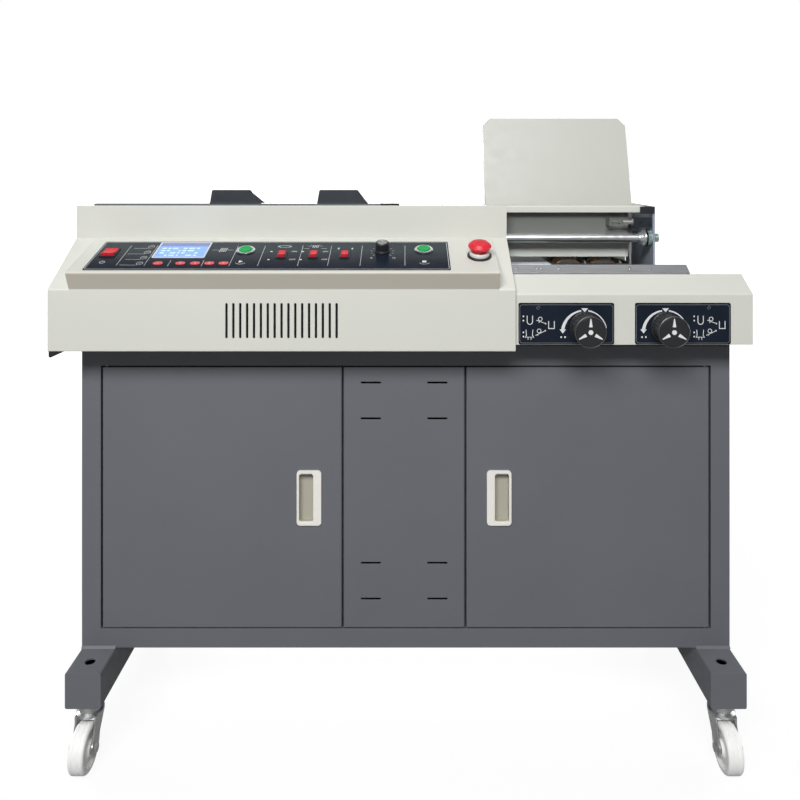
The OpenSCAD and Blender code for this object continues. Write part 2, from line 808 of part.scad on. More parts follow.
// Domed membrane keys, raised from the overlay film
module membrane_keys() {
  color(signal_red) on_cabinet() for (x = key_x)
    on_console([x, key_v], overlay_t) {
      linear_extrude(0.5) rounded_plate([17, 11], 5.4);
      linear_extrude(0.8) rounded_plate([15, 9], 4.4);
    }
}

frame_edge = 3;
frame_wall = 1.6;
frame_rise = 1.6;
throw_room = 2.6;
pivot_w = -3;
pivot_d = 3;
housing_deep = 16;
bush_d = 9;

function window_size(size) = size + [2 * gap, throw_room];
function housing_size(size) = window_size(size) + 2 * [frame_wall, frame_wall];

// Surround and body of a rocker switch, with bearings for the actuator's pivot pins
module rocker_housing(pos, size) {
  on_console(pos, overlay_t) difference() {
    union() {
      linear_extrude(frame_rise) rounded_plate(window_size(size) + 2 * [frame_edge, frame_edge], 2);
      translate([0, 0, -housing_deep])
        linear_extrude(housing_deep + 1) square(housing_size(size), center = true);
    }
    translate([0, 0, 2 - housing_deep])
      linear_extrude(housing_deep + 2) square(window_size(size), center = true);
    bar_x([-size[0] / 2 - gap - 1.3, 0, pivot_w], pivot_d + 2 * fit, size[0] + 2 * gap + 2.6);
  }
}

// Rocker actuator: a dished top, flat sides and two pivot pins, resting with its far side down
module rocker(pos, size) {
  l = size[1] / 2;
  on_console(pos, overlay_t) translate([0, 0, pivot_w]) rotate([-rocker_tilt, 0, 0]) {
    along_x(-size[0] / 2, size[0] / 2)
      polygon([[-l + 1.5, -6], [l - 1.5, -6], [l, 7.2], [l / 2, 5.6], [0, 5], [-l / 2, 5.6], [-l, 7.2]]);
    bar_x([-size[0] / 2 - gap - 1, 0, 0], pivot_d, size[0] + 2 * gap + 2);
  }
}

module power_rocker() {
  color(signal_red) on_cabinet() rocker(power_pos, power_size);
}

module small_rocker(i) {
  color(signal_red) on_cabinet() rocker(rocker_pos[i - 1], rocker_size);
}

cap_skirt = 7;
cap_rise = 5;

// Bezel ring and barrel of a push button, with room for the cap's travel
module button_bezel(pos) {
  r = button_d / 2 + gap;
  depth = cap_skirt + press + 2;
  on_console(pos, overlay_t) rotate_extrude()
    polygon([[0, -depth - 2], [r + 2.4, -depth - 2], [r + 2.4, 0], [r + bezel_w, 0], [r + bezel_w, 1.4],
      [r + bezel_w - 1.6, 2.6], [r + 0.8, 2.6], [r, 1.8], [r, -depth], [0, -depth]]);
}

// Cap of a push button, with a dished top and a rounded rim
module button_cap(pos) {
  r = button_d / 2;
  color(signal_green) on_cabinet() on_console(pos, overlay_t) rotate_extrude()
    polygon([[0, -cap_skirt], [r, -cap_skirt], [r, cap_rise - 1.2], [r - 0.4, cap_rise - 0.4],
      [r - 1.2, cap_rise], [r - 2.2, cap_rise], [r - 5, cap_rise - 0.8], [0, cap_rise - 1.2]]);
}

module start_button() {
  button_cap(button_pos[0]);
}

module stop_button() {
  button_cap(button_pos[1]);
}

// Switch surrounds, button bezels and the force knob's bush with its nut
module console_bezels() {
  color(panel_black) on_cabinet() {
    rocker_housing(power_pos, power_size);
    for (p = rocker_pos) rocker_housing(p, rocker_size);
    for (p = button_pos) button_bezel(p);
    on_console(force_pos, overlay_t) difference() {
      union() {
        translate([0, 0, -14]) cylinder(h = 17, d = bush_d);
        cylinder(h = 2.2, d = bush_d + 5, $fn = 6);
        translate([0, 0, -14]) cylinder(h = 4, d = bush_d + 9);
      }
      translate([0, 0, -12]) cylinder(h = 20, d = 6 + 2 * fit);
    }
  }
}

// Force knob: a fluted skirt, a bright cap and its spindle
module force_knob() {
  r = force_d / 2;
  color(panel_black) on_cabinet() on_console(force_pos, overlay_t) {
    difference() {
      rotate_extrude()
        polygon([[0, gap], [r, gap], [r, 3], [r - 1.2, 4], [r - 1.6, force_h - 1.5], [r - 2.6, force_h],
          [r - 4.6, force_h], [r - 4.8, force_h - 0.6], [0, force_h - 0.6]]);
      translate([0, 0, -1]) cylinder(h = 5, d = bush_d + 6.5);
      for (a = [0:20:340]) rotate([0, 0, a]) translate([r - 1, 0, 5]) cylinder(h = force_h, d = 2, $fn = 16);
    }
    translate([0, 0, -11.5]) cylinder(h = 16, d = 6);
  }
}

collar_h = [3.2, 9];

// Emergency stop: a black mounting ring and a pale shroud round the neck
module estop_collar() {
  neck = estop_d * 0.3 + gap;
  seat = estop_d * 0.375;
  color(nylon_white) on_cabinet() on_console(estop_pos) rotate_extrude()
    polygon([[0, -20], [seat, -20], [seat, 0], [seat + 5.5, 0], [seat + 5.5, 2.4],
      [seat + 4.5, collar_h[0]], [seat + 2.3, collar_h[0]], [seat + 2.3, collar_h[1] - 1],
      [seat + 1.3, collar_h[1]], [neck, collar_h[1]], [neck, -16], [0, -16]]);
}

estop_h = 28;

// Mushroom head on its neck
module estop_head() {
  r = estop_d / 2;
  n = r * 0.6;
  color(signal_red) on_cabinet() on_console(estop_pos) rotate_extrude()
    polygon(concat(
      [[0, press - 14], [n, press - 14], [n, 14], [n + 2, 15.5], [r - 1.5, 16.5]],
      [for (a = [-50:20:70]) [r - 3 + 3 * cos(a), 19.5 + 3 * sin(a)]],
      [for (t = [0.8, 0.6, 0.4, 0.2, 0]) [t * (r - 2), 22.5 + (estop_h - 22.5) * sqrt(1 - t * t)]]
    ));
}

// ---- Table side ----

rail_screw_x = [194, 229, 236, 267, 391, 426];

// Bent steel rail: a sloping top strip and an upright leg on the bed, with domed screws
module table_rail() {
  t = cover_t;
  back = -ridge_in + t;
  rise = (rail_z - ridge_z - t) / ridge_in;
  color(steel) on_cabinet() {
    difference() {
      along_x(rail_x[0], rail_x[1])
        polygon([[-ridge_in, ridge_z], [back, ridge_z], [-t, ridge_z + (ridge_in - 2 * t) * rise],
          [-t, bed_z], [0, bed_z], [0, rail_z], [-ridge_in, ridge_z + t]]);
      for (x = knob_x) bar_y([x, -t - 1, knob_z], spindle_d + 1, t + 2);
    }
    for (x = rail_screw_x)
      translate([x, -ridge_in / 2, ridge_z + t + ridge_in / 2 * rise])
        rotate([atan(rise), 0, 0]) screw_head(6);
  }
}

// Domed screw head with a cross recess
module screw_head(d) {
  difference() {
    rotate_extrude($fn = 24)
      polygon([[0, -1], [d / 2, -1], [d / 2, 0.6], [d * 0.42, 1.4], [d * 0.25, 2], [0, 2.2]]);
    for (a = [0, 90]) rotate([0, 0, a]) translate([0, 0, 2]) cube([d * 0.6, 0.9, 1.4], center = true);
  }
}

// Fluted glue knob: three pointers' face towards the front, and a spindle to the glue tank
module glue_knob(i) {
  base = table_reach + overlay_t + gap;
  color(panel_black) on_cabinet() translate([knob_x[i - 1], 0, knob_z]) {
    translate([0, -base, 0]) rotate([90, 0, 0]) difference() {
      rotate_extrude($fn = 72) knob_section(knob_front - base);
      for (a = [0:15:345])
        rotate([0, 0, a]) translate([knob_d / 2 - 1, 0, 5.6])
          cylinder(h = knob_front - base - 13, d = 4, $fn = 16);
    }
    bar_y([0, -base - 10, 0], spindle_d, base + 10 + tank_y[0] + 9);
  }
}

// Knob outline from its base to its face, where a ring groove runs round the disc
module knob_section(h) {
  r = knob_d / 2;
  polygon([[0, 0], [r - 0.5, 0], [r, 1], [r, 5], [r - 2, 6.5], [r - 2, h - 8], [r, h - 6],
    [r, h - 1.2], [r - 1, h], [r - 2, h], [r - 2.4, h - 0.5], [r - 3, h], [0, h]]);
}

// ---- Shafts, brackets and sensor ----

left_bracket_x = cover_x0 + cover_t + 2;
bracket_y = [46, 216];
tab_z = [225, 238];

// End plates that carry both guide shafts; the right one has a folded tab at its top front
module shaft_brackets() {
  t = bracket_t;
  front = wall_back + 0.5;
  color(dark_steel) on_cabinet() {
    difference() {
      union() {
        along_x(bracket_x, bracket_x + t)
          polygon(rounded([[bracket_y[0], bed_z], [bracket_y[1], bed_z], [bracket_y[1], shaft_z + 20],
            [bracket_y[1] - 40, tab_z[1]], [bracket_y[0], tab_z[1]]], [0, 0, 8, 8, 0]));
        block([bracket_x - 23, bracket_y[0], tab_z[0]], [bracket_x + t, bracket_y[0] + t, tab_z[1]]);
        block([bracket_x - 22, bracket_y[0] + 60, bed_z], [bracket_x + t, bracket_y[1], bed_z + t]);
      }
      for (y = shaft_y) bar_x([bracket_x - 1, y, shaft_z], shaft_d, t + 2);
      for (y = [bracket_y[0] + 80, bracket_y[1] - 20]) bar_z([bracket_x - 11, y, bed_z - 1], 7, t + 2);
    }
    difference() {
      union() {
        along_x(left_bracket_x, left_bracket_x + t)
          polygon([[front, bed_z], [bracket_y[1], bed_z], [bracket_y[1], shaft_z + 15],
            [front, shaft_z + 15]]);
        block([left_bracket_x, front, bed_z], [left_bracket_x + 22, bracket_y[1], bed_z + t]);
      }
      for (y = shaft_y) bar_x([left_bracket_x - 1, y, shaft_z], shaft_d, t + 2);
      for (y = [front + 30, bracket_y[1] - 20]) bar_z([left_bracket_x + 13, y, bed_z - 1], 7, t + 2);
    }
  }
}

stub = 9;
flange_d = 30;
stop_rod_x = 412;
stop_rod_d = 4;

// Chromed guide shafts, their flanges, locking discs and knurled nuts, and the upright stop rod
module guide_shafts() {
  end = bracket_x + bracket_t + stub;
  color(steel) on_cabinet() {
    for (y = shaft_y) difference() {
      bar_x([left_bracket_x, y, shaft_z], shaft_d, end - left_bracket_x);
      bar_x([end - 8, y, shaft_z], 6, 9);
    }
    translate([bracket_x, shaft_y[0], shaft_z]) rotate([0, -90, 0]) {
      difference() {
        union() {
          knurled_nut(9);
          translate([0, 0, 9]) cylinder(h = 3, d = flange_d + 2);
          translate([0, 0, 12]) rotate_extrude()
            polygon([[0, 0], [flange_d / 2, 0], [flange_d / 2, 3], [shaft_d / 2 + 3, 5],
              [shaft_d / 2 + 3, 10], [0, 10]]);
        }
        translate([0, 0, -1]) cylinder(h = 30, d = shaft_d);
      }
    }
    bar_z([stop_rod_x, shaft_y[0], bed_z], stop_rod_d, shaft_z - shaft_d / 2 - gap - bed_z);
  }
}

// Nut with straight knurls round its rim, standing on Z = 0
module knurled_nut(h) {
  d = flange_d - 4;
  difference() {
    cylinder(h = h, d = d);
    for (a = [0:18:342]) rotate([0, 0, a]) translate([d / 2, 0, 1]) cylinder(h = h - 2, d = 1.8, $fn = 12);
  }
}

sensor_z = 209;
sensor_y = 60;
sensor_x = bracket_x - 51;
sensor_d = 8;
arm_x = [sensor_x + 19, sensor_x + 25];

// Home sensor: a barrel with two nuts on an arm from the right bracket
module home_sensor() {
  color(steel) on_cabinet() {
    bar_x([sensor_x, sensor_y, sensor_z], sensor_d, 30);
    for (x = [arm_x[0] - 3, arm_x[1]]) translate([x, sensor_y, sensor_z]) rotate([0, 90, 0]) difference() {
      cylinder(h = 3, d = 13, $fn = 6);
      translate([0, 0, -1]) cylinder(h = 5, d = sensor_d);
    }
    difference() {
      union() {
        block([arm_x[0], sensor_y - 8, sensor_z - 9], [arm_x[1], sensor_y + 3, sensor_z + 9]);
        block([arm_x[0], sensor_y - 8, sensor_z - 9], [bracket_x, sensor_y - 5, sensor_z + 9]);
      }
      bar_x([arm_x[0] - 1, sensor_y, sensor_z], sensor_d, 8);
    }
  }
}

// ---- Glue, milling and cover stations ----

roller_len = tank_y[1] - tank_y[0] - 2 * tank_wall - 12;
roller_z = roller_top_z - roller_d / 2;
roller_y = tank_y[0] + tank_wall + 6;
tank_floor = 62;
axle_r = 6;
scraper_room = 1;
scraper_t = 4;
// Scrapers stand just right of their rollers
scraper_x = [for (x = roller_x) x + roller_d / 2 + scraper_room + scraper_t / 2];

// Heated tank, open at the top, with bearings for the roller axles and for the knobs' spindles
module glue_tank() {
  t = tank_wall;
  color(dark_steel) on_cabinet() difference() {
    union() {
      block([tank_x[0], tank_y[0], bed_z], [tank_x[1], tank_y[1], tank_z]);
      block([tank_x[1] - 1, tank_y[0], bed_z], [knob_x[1] + 11, tank_y[0] + 14, knob_z + 12]);
    }
    block([tank_x[0] + t, tank_y[0] + t, tank_floor], [tank_x[1] - t, tank_y[1] - t, tank_z + 1]);
    for (x = roller_x) bar_y([x, tank_y[0] - 1, roller_z], 2 * axle_r + 2 * fit, tank_y[1] - tank_y[0] + 2);
    for (x = knob_x) bar_y([x, tank_y[0] - 1, knob_z], spindle_d + 2 * fit, 11);
  }
}

// Scraper blade in the tank, with a bevelled edge beside its roller
module scraper(i) {
  y = [tank_y[0] + tank_wall + gap, tank_y[1] - tank_wall - gap];
  x = scraper_x[i - 1];
  color(steel) on_cabinet() translate([0, y[1], 0]) rotate([90, 0, 0]) linear_extrude(y[1] - y[0])
    polygon([[x - scraper_t / 2, tank_floor + 13], [x + scraper_t / 2, tank_floor + 13],
      [x + scraper_t / 2, roller_top_z - 6], [x - scraper_t / 2, roller_top_z - 2]]);
}

// Glue roller: grooved face, end collars and an axle with a square drive end
module glue_roller(i) {
  r = roller_d / 2;
  color(dark_steel) on_cabinet() {
    translate([roller_x[i - 1], roller_y, roller_z]) rotate([-90, 0, 0])
      rotate_extrude($fn = 72)
        polygon(concat([[0, 0], [r, 0]],
          [for (k = [1:6]) each [[r, k * roller_len / 7 - 1.2], [r - 0.8, k * roller_len / 7],
            [r, k * roller_len / 7 + 1.2]]],
          [[r, roller_len], [0, roller_len]]));
    bar_y([roller_x[i - 1], tank_y[0] - 4, roller_z], 2 * axle_r, tank_y[1] - tank_y[0] + 24);
    translate([roller_x[i - 1], tank_y[1] + 4, roller_z]) rotate([-90, 0, 0]) gear_wheel(i);
  }
}

gear_teeth = 33;
gear_pitch_r = (roller_x[1] - roller_x[0]) / 2;

// Spur gear on a roller's axle; the second one faces the first with a tooth gap
module gear_wheel(i) {
  n = gear_teeth;
  r = gear_pitch_r;
  m = 2 * r / n;
  turn = i == 1 ? 0 : 180 + 180 / n;
  difference() {
    linear_extrude(12) rotate([0, 0, turn]) {
      circle(r = r - 1.25 * m, $fn = 96);
      for (k = [0:n - 1]) rotate([0, 0, k * 360 / n])
        polygon([[r - 1.4 * m, -0.95 * m], [r, -0.68 * m], [r + 0.85 * m, -0.34 * m],
          [r + 0.85 * m, 0.34 * m], [r, 0.68 * m], [r - 1.4 * m, 0.95 * m]]);
    }
    for (a = [0:60:300]) rotate([0, 0, a]) translate([r * 0.58, 0, -1]) cylinder(h = 14, d = 9);
  }
}

chute_x = [188, 270];
chute_z = 130;
chute_y = [75, 230];

// Bright plate in front of the tank, folded down to feet on the bed
module chute_plate() {
  y = chute_y;
  t = 2;
  color(steel) on_cabinet() {
    block([chute_x[0], y[0], chute_z - t], [chute_x[1], y[1], chute_z]);
    for (x = [chute_x[0], chute_x[1] - t]) block([x, y[0], bed_z], [x + t, y[1], chute_z]);
    for (x = [chute_x[0], chute_x[1] - 20]) block([x, y[0], bed_z], [x + 20, y[1], bed_z + t]);
  }
}

cutter_hub_d = 20;
shaft_foot = 56;
disc_t = 10;
motor_top = 100;
shroud_z = [102, 132];

// Milling motor: ribbed body, end flange and a dust shroud round the cutter
module milling_motor() {
  color(dark_steel) on_cabinet() translate([cutter_pos[0], cutter_pos[1], 0]) difference() {
    union() {
      bar_z([0, 0, bed_z], 96, 8);
      bar_z([0, 0, bed_z], 84, motor_top - bed_z);
      bar_z([0, 0, motor_top - 8], 96, 10);
      for (a = [0:20:340]) rotate([0, 0, a]) block([40, -1.2, bed_z + 8], [46, 1.2, motor_top - 8]);
      bar_z([0, 0, shroud_z[0]], cutter_d + 22, shroud_z[1] - shroud_z[0]);
    }
    bar_z([0, 0, shroud_z[0] + 4], cutter_d + 12, 60);
    bar_z([0, 0, shaft_foot - 6], cutter_hub_d + 2 * fit, shroud_z[0] - shaft_foot + 10);
    bar_y([0, cutter_d / 2 - 10, shroud_z[0] + 16], 20, 30);
  }
}

// Toothed milling cutter on its shaft, with a raised clamp nut
module milling_cutter() {
  r = cutter_d / 2;
  z = cutter_z - disc_t - 2;
  color(steel) on_cabinet() translate([cutter_pos[0], cutter_pos[1], 0]) {
    difference() {
      union() {
        bar_z([0, 0, z], 2 * (r - 7), disc_t);
        for (k = [0:cutter_teeth - 1]) rotate([0, 0, k * 360 / cutter_teeth])
          translate([0, 0, z]) linear_extrude(disc_t)
            polygon([[r - 10, -7], [r - 2, -6], [r, 0], [r - 3, 5], [r - 10, 6]]);
        for (k = [0:cutter_teeth - 1]) rotate([0, 0, k * 360 / cutter_teeth])
          block([r - 10, -3.4, z + disc_t], [r - 2, -0.4, cutter_z]);
      }
      for (k = [0:cutter_teeth - 1]) rotate([0, 0, (k + 0.5) * 360 / cutter_teeth])
        translate([r - 6, 0, z - 1]) cylinder(h = disc_t + 2, d = 8);
      for (a = [0:90:270]) rotate([0, 0, a]) translate([r * 0.5, 0, z - 1]) cylinder(h = disc_t + 2, d = 12);
    }
    bar_z([0, 0, shaft_foot], cutter_hub_d, z - shaft_foot);
    translate([0, 0, z + disc_t]) cylinder(h = 3, d = 34);
    translate([0, 0, z + disc_t + 0.01]) cylinder(h = cutter_z - z - disc_t, d = 18, $fn = 6);
  }
}

table_y = [70, 228];
table_t = 8;
leg_d = 20;

// Cover table on four turned legs, with the slots that guide the nip plates
module nip_table() {
  color(steel) on_cabinet() {
    difference() {
      block([nip_x[0], table_y[0], nip_z - table_t], [nip_x[1], table_y[1], nip_z]);
      for (x = guide_slot_x, y = guide_slot_y) guide_slot([x, y]);
    }
    for (x = [nip_x[0] + 30, nip_x[1] - 30], y = [table_y[0] + 20, table_y[1] - 20])
      translate([x, y, 0]) rotate_extrude()
        polygon([[0, bed_z], [leg_d / 2 + 5, bed_z], [leg_d / 2 + 5, bed_z + 5], [leg_d / 2, bed_z + 7],
          [leg_d / 2, nip_z - table_t], [0, nip_z - table_t]]);
  }
}

spine_y = 117;
nip_gap = 40;
nip_travel = 16;
nip_depth = 30;
nip_t = 8;
guide_slot_x = [nip_x[0] + 60, nip_x[1] - 60];
guide_slot_y = [spine_y - nip_gap / 2 - nip_depth / 2, spine_y + nip_gap / 2 + nip_depth / 2];
pin_d = 8;

// Slot in the table along Y for a nip plate's guide pin
module guide_slot(p) {
  l = nip_travel + 2;
  y0 = p[1] < spine_y ? p[1] - 1 : p[1] - nip_travel - 1;
  w = pin_d + 2 * gap;
  block([p[0] - w / 2, y0, nip_z - table_t - 1], [p[0] + w / 2, y0 + l, nip_z + 1]);
  for (y = [y0, y0 + l]) bar_z([p[0], y, nip_z - table_t - 1], w, table_t + 2);
}

// Nip plate with a bevelled working edge and its two guide pins
module nip_plate(side) {
  edge = spine_y + side * nip_gap / 2;
  back = edge + side * nip_depth;
  x = [nip_x[0] + 20, nip_x[1] - 20];
  z = nip_z + gap;
  color(steel) on_cabinet() {
    along_x(x[0], x[1])
      polygon([[back, z], [edge, z], [edge, z + nip_t - 3], [edge + side * 2, z + nip_t], [back, z + nip_t]]);
    for (px = guide_slot_x)
      bar_z([px, spine_y + side * (nip_gap + nip_depth) / 2, nip_z - table_t - 3], pin_d, table_t + 4);
  }
}

// ---- Cover guide on the wall ----

end_block_l = 34;

// Square guide rail on the back of the wall, with a deeper black block at its right end
module guide_rail() {
  y = [wall_back, wall_back + guide_size[0]];
  z = [wall_top_z - 10, wall_top_z - 10 + guide_size[1]];
  color(dark_steel) on_cabinet() {
    block([guide_x[0], y[0], z[0]], [guide_x[1] - end_block_l, y[1], z[1]]);
    block([guide_x[1] - end_block_l, y[0], z[0] - 6], [guide_x[1], y[1] + 1.5, z[1] + 0.5]);
  }
}

// Cover-sheet guide that slides on the rail: a foot hooked over the rail and a thin upright wing
module wing(i) {
  y0 = wall_back;
  z0 = wall_top_z - 10 + guide_size[1] + gap;
  x = wing_x[i - 1];
  color(dark_steel) on_cabinet() {
    along_x(x, x + wing_w)
      polygon([[y0 + 0.5, z0], [y0 + guide_size[0] + gap, z0], [y0 + guide_size[0] + gap, z0 - 9],
        [y0 + guide_size[0] + gap + 2, z0 - 9], [y0 + guide_size[0] + gap + 2, z0 + 2], [y0 + 0.5, z0 + 2]]);
    translate([0, y0 + 5, 0]) rotate([90, 0, 0]) linear_extrude(2)
      polygon(rounded([[x, z0 + 1], [x + wing_w, z0 + 1], [x + wing_w - 18, z0 + wing_h],
        [x + 4, z0 + wing_h]], [0, 0, 3, 3]));
    translate([0, y0 + 9, 0]) rotate([90, 0, 0]) linear_extrude(2)
      polygon([[x + 2, z0 + 1], [x + wing_w + (i == 1 ? 8 : 0), z0 + 1], [x + wing_w - 14, z0 + wing_h - 6],
        [x + 8, z0 + wing_h - 6]]);
  }
}

// ---- Book carriage ----

rear_jaw_t = 8;
rear_jaw_z = 234;
rod_x = [98, 409];
rod_z = 212;
rod_d = 10;
block_y = rear_jaw_y + rear_jaw_t;
carriage_back = shaft_y[1] + 26;
end_plate_x = [74, 86];
bearing_z = [shaft_z - 14, rear_jaw_z];

// Carriage: rear jaw, left end plate with the front bearing, and two rear bearing blocks
module carriage_frame() {
  front = [shaft_y[0] - shaft_d / 2, jaw_y + 6];
  color(cover_beige) on_cabinet() difference() {
    union() {
      block([end_plate_x[0], rear_jaw_y, jaw_z], [carriage_x1, block_y, rear_jaw_z]);
      along_x(end_plate_x[0], end_plate_x[1])
        polygon([[front[0], shaft_z - 14], [carriage_back, shaft_z - 14], [carriage_back, rear_jaw_z],
          [front[1], rear_jaw_z], [front[1], shaft_z + 14], [front[0], shaft_z + 14]]);
      block([end_plate_x[0], block_y, bearing_z[0]], [rod_x[0] + 14, carriage_back, bearing_z[1]]);
      block([rod_x[1] - 14, block_y, bearing_z[0]], [carriage_x1, carriage_back, bearing_z[1]]);
      block([carriage_x1 - 3, jaw_y, rear_jaw_z - 10], [carriage_x1, rear_jaw_y + 1, rear_jaw_z]);
      block([carriage_x1 - 3, jaw_y, rear_jaw_z - 10], [carriage_x1, rear_jaw_y, wall_top_z - 1]);
    }
    for (y = shaft_y)
      bar_x([end_plate_x[0] - 1, y, shaft_z], shaft_d + 2 * fit, carriage_x1 - end_plate_x[0] + 2);
    for (x = rod_x) bar_y([x, rear_jaw_y - 1, rod_z], rod_d + 2 * fit, carriage_back);
    for (z = [jaw_z + 8:5:jaw_z + 38])
      block([jaw_x[0], rear_jaw_y - 1, z], [jaw_x[1], rear_jaw_y + 0.8, z + 1.2]);
  }
}

foot_l = 34;
back_t = 3;

// Backrest: a leaning sheet with cut corners, side edges folded back and a foot on the carriage
module backrest() {
  z = [rear_jaw_z, back_top_z];
  y = [rear_jaw_y, rear_jaw_y + back_lean];
  corner = 14;
  color(cover_beige) on_cabinet() {
    difference() {
      along_x(back_x[0], back_x[1])
        polygon([[y[0], z[0]], [y[0] + foot_l, z[0]], [y[0] + foot_l, z[0] + back_t],
          [y[0] + back_t + 4, z[0] + back_t], [y[1] + back_t, z[1]], [y[1], z[1]]]);
      for (x = back_x, side = [-1, 1])
        translate([x, y[1], z[1]]) rotate([90, 45, 0])
          cube([corner * sqrt(2), corner * sqrt(2), 100], center = true);
    }
    for (x = [back_x[0], back_x[1] - back_t])
      along_x(x, x + back_t)
        polygon([[y[0] + 2 * back_t, z[0] + back_t], [y[0] + 16, z[0] + back_t], [y[1] - 5 + 6, z[1] - 24],
          [y[1] - 7, z[1] - 24]]);
  }
}

flange_z = [226, wall_top_z - 1];
face_t = 8;
clamp_t = 6;
clamp_h = 42;

// Front jaw: face bar, plate and clamp bar, its two guide rods and the sensor's target screw
module front_jaw() {
  y = jaw_y + 15;
  reach = 95;
  color(cover_beige) on_cabinet() {
    difference() {
      union() {
        along_x(jaw_x[0], carriage_x1 - 3 - 2 * gap)
          polygon(rounded([[jaw_y, flange_z[0]], [y + face_t + clamp_t, flange_z[0]],
            [y + face_t + clamp_t, flange_z[1]], [jaw_y, flange_z[1]]], [1, 0, 0, 3]));
        block([jaw_x[0], y, jaw_z], [jaw_x[1], y + face_t, flange_z[0] + 1]);
        block([jaw_x[0], y + face_t - 0.5, jaw_z], [jaw_x[1], y + face_t + clamp_t, jaw_z + clamp_h]);
      }
      for (z = [jaw_z + 8:5:jaw_z + 38])
        block([jaw_x[0] - 1, y + face_t + clamp_t - 0.8, z],
          [jaw_x[1] + 1, y + face_t + clamp_t + 1, z + 1.2]);
    }
    for (x = rod_x) bar_y([x, y + face_t, rod_z], rod_d, reach);
    bar_x([sensor_x - 22, sensor_y, sensor_z], 5, 18);
    translate([sensor_x - 8, sensor_y, sensor_z]) rotate([0, 90, 0]) cylinder(h = 4, d = 9, $fn = 6);
    block([sensor_x - 26, sensor_y - 6, sensor_z - 7], [sensor_x - 22, y, sensor_z + 7]);
  }
}

foot_beams();
caster_stems();
cabinet_shell();
front_frame();
centre_panel();
hinge_pins();
bed_plate();
left_cover();
right_cover();
rear_cover();
mains_inlet();
control_overlays();
lcd_window();
status_lamps();
membrane_keys();
console_bezels();
estop_collar();
table_rail();
shaft_brackets();
guide_shafts();
home_sensor();
glue_tank();
chute_plate();
milling_motor();
nip_table();
guide_rail();
left_door();
right_door();
left_pull();
right_pull();
caster_fork(1);  // caster_fork_1
caster_fork(2);  // caster_fork_2
caster_fork(3);  // caster_fork_3
caster_fork(4);  // caster_fork_4
caster_wheel(1);  // caster_wheel_1
caster_wheel(2);  // caster_wheel_2
caster_wheel(3);  // caster_wheel_3
caster_wheel(4);  // caster_wheel_4
power_rocker();
small_rocker(1);  // rocker_1
small_rocker(2);  // rocker_2
small_rocker(3);  // rocker_3
start_button();
stop_button();
estop_head();
force_knob();
glue_knob(1);  // glue_knob_1
glue_knob(2);  // glue_knob_2
scraper(1);  // scraper_1
scraper(2);  // scraper_2
carriage_frame();
backrest();
front_jaw();
glue_roller(1);  // glue_roller_1
glue_roller(2);  // glue_roller_2
milling_cutter();
nip_plate(-1);  // nip_plate_front
nip_plate(1);  // nip_plate_rear
wing(1);  // wing_1
wing(2);  // wing_2
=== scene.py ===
"""Perfect binding machine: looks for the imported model, in metres, in the model's own frame."""

import json
import math

import bmesh
import bpy
from mathutils import Matrix, Vector, noise


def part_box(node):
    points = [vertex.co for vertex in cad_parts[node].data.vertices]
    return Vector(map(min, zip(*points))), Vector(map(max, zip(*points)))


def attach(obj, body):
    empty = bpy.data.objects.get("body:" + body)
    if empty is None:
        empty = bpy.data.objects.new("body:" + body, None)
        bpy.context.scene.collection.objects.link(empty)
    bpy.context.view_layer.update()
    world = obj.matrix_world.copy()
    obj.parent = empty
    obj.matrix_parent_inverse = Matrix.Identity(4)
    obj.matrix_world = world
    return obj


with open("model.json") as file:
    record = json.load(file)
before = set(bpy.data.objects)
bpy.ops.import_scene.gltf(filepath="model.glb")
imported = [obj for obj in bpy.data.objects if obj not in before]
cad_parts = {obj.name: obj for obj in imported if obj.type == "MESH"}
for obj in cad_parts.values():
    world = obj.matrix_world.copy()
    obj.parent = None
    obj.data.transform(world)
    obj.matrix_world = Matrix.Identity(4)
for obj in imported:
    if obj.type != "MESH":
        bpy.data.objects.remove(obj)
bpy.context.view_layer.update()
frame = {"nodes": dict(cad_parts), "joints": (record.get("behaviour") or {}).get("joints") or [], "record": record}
nodes = frame["nodes"]
pivots = {joint["child"]: Vector(joint["pos_m"]) for joint in frame["joints"] if "pos_m" in joint}

MM = 0.001
# Construction frame of the solids: X from the cabinet's centre, Y from its front face, Z from the floor
CAB_X = sum(corner.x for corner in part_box("cabinet_shell")) / 2 / MM
CAB_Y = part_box("front_frame")[0].y / MM
# Console: height and depth of its lip, its slope, and the film's thickness
LIP_Y, LIP_Z = -81.5, 836.0
SLOPE = math.atan2(45.0, 127.0)
FILM = 1.0
# Thickness of printed ink, and how deep it is sunk
INK_T, SUNK = 0.08, -0.02


def place(x, y, z):
    """Point of the construction frame, in the model's frame."""
    return Vector(((x + CAB_X) * MM, (y + CAB_Y) * MM, z * MM))


def console(u, v, w=FILM):
    """Matrix of a place on the console's slope: across, up the slope, height over the sheet; millimetres."""
    base = Matrix.Translation(place(0, LIP_Y, LIP_Z)) @ Matrix.Rotation(SLOPE, 4, "X")
    return base @ Matrix.Translation(Vector((u, v, w)) * MM) @ Matrix.Scale(MM, 4)


def front(x, y, z):
    """Matrix of a place on an upright face towards the front: local x to the right, local y up."""
    return Matrix.Translation(place(x, y, z)) @ Matrix.Rotation(math.pi / 2, 4, "X") @ Matrix.Scale(MM, 4)


def pivot(body):
    """Hinge of a control on the console: across, up the slope."""
    return (console(0, 0, 0).inverted() @ pivots[body])[:2]


def reach(name):
    """Lowest and highest place of a node, across the console and up its slope."""
    back = console(0, 0, 0).inverted()
    spots = [back @ vertex.co for vertex in nodes[name].data.vertices]
    return [(min(spot[k] for spot in spots), max(spot[k] for spot in spots)) for k in (0, 1)]


def middle(name):
    """Middle of a node on the console: across, up the slope."""
    return tuple((low + high) / 2 for low, high in reach(name))


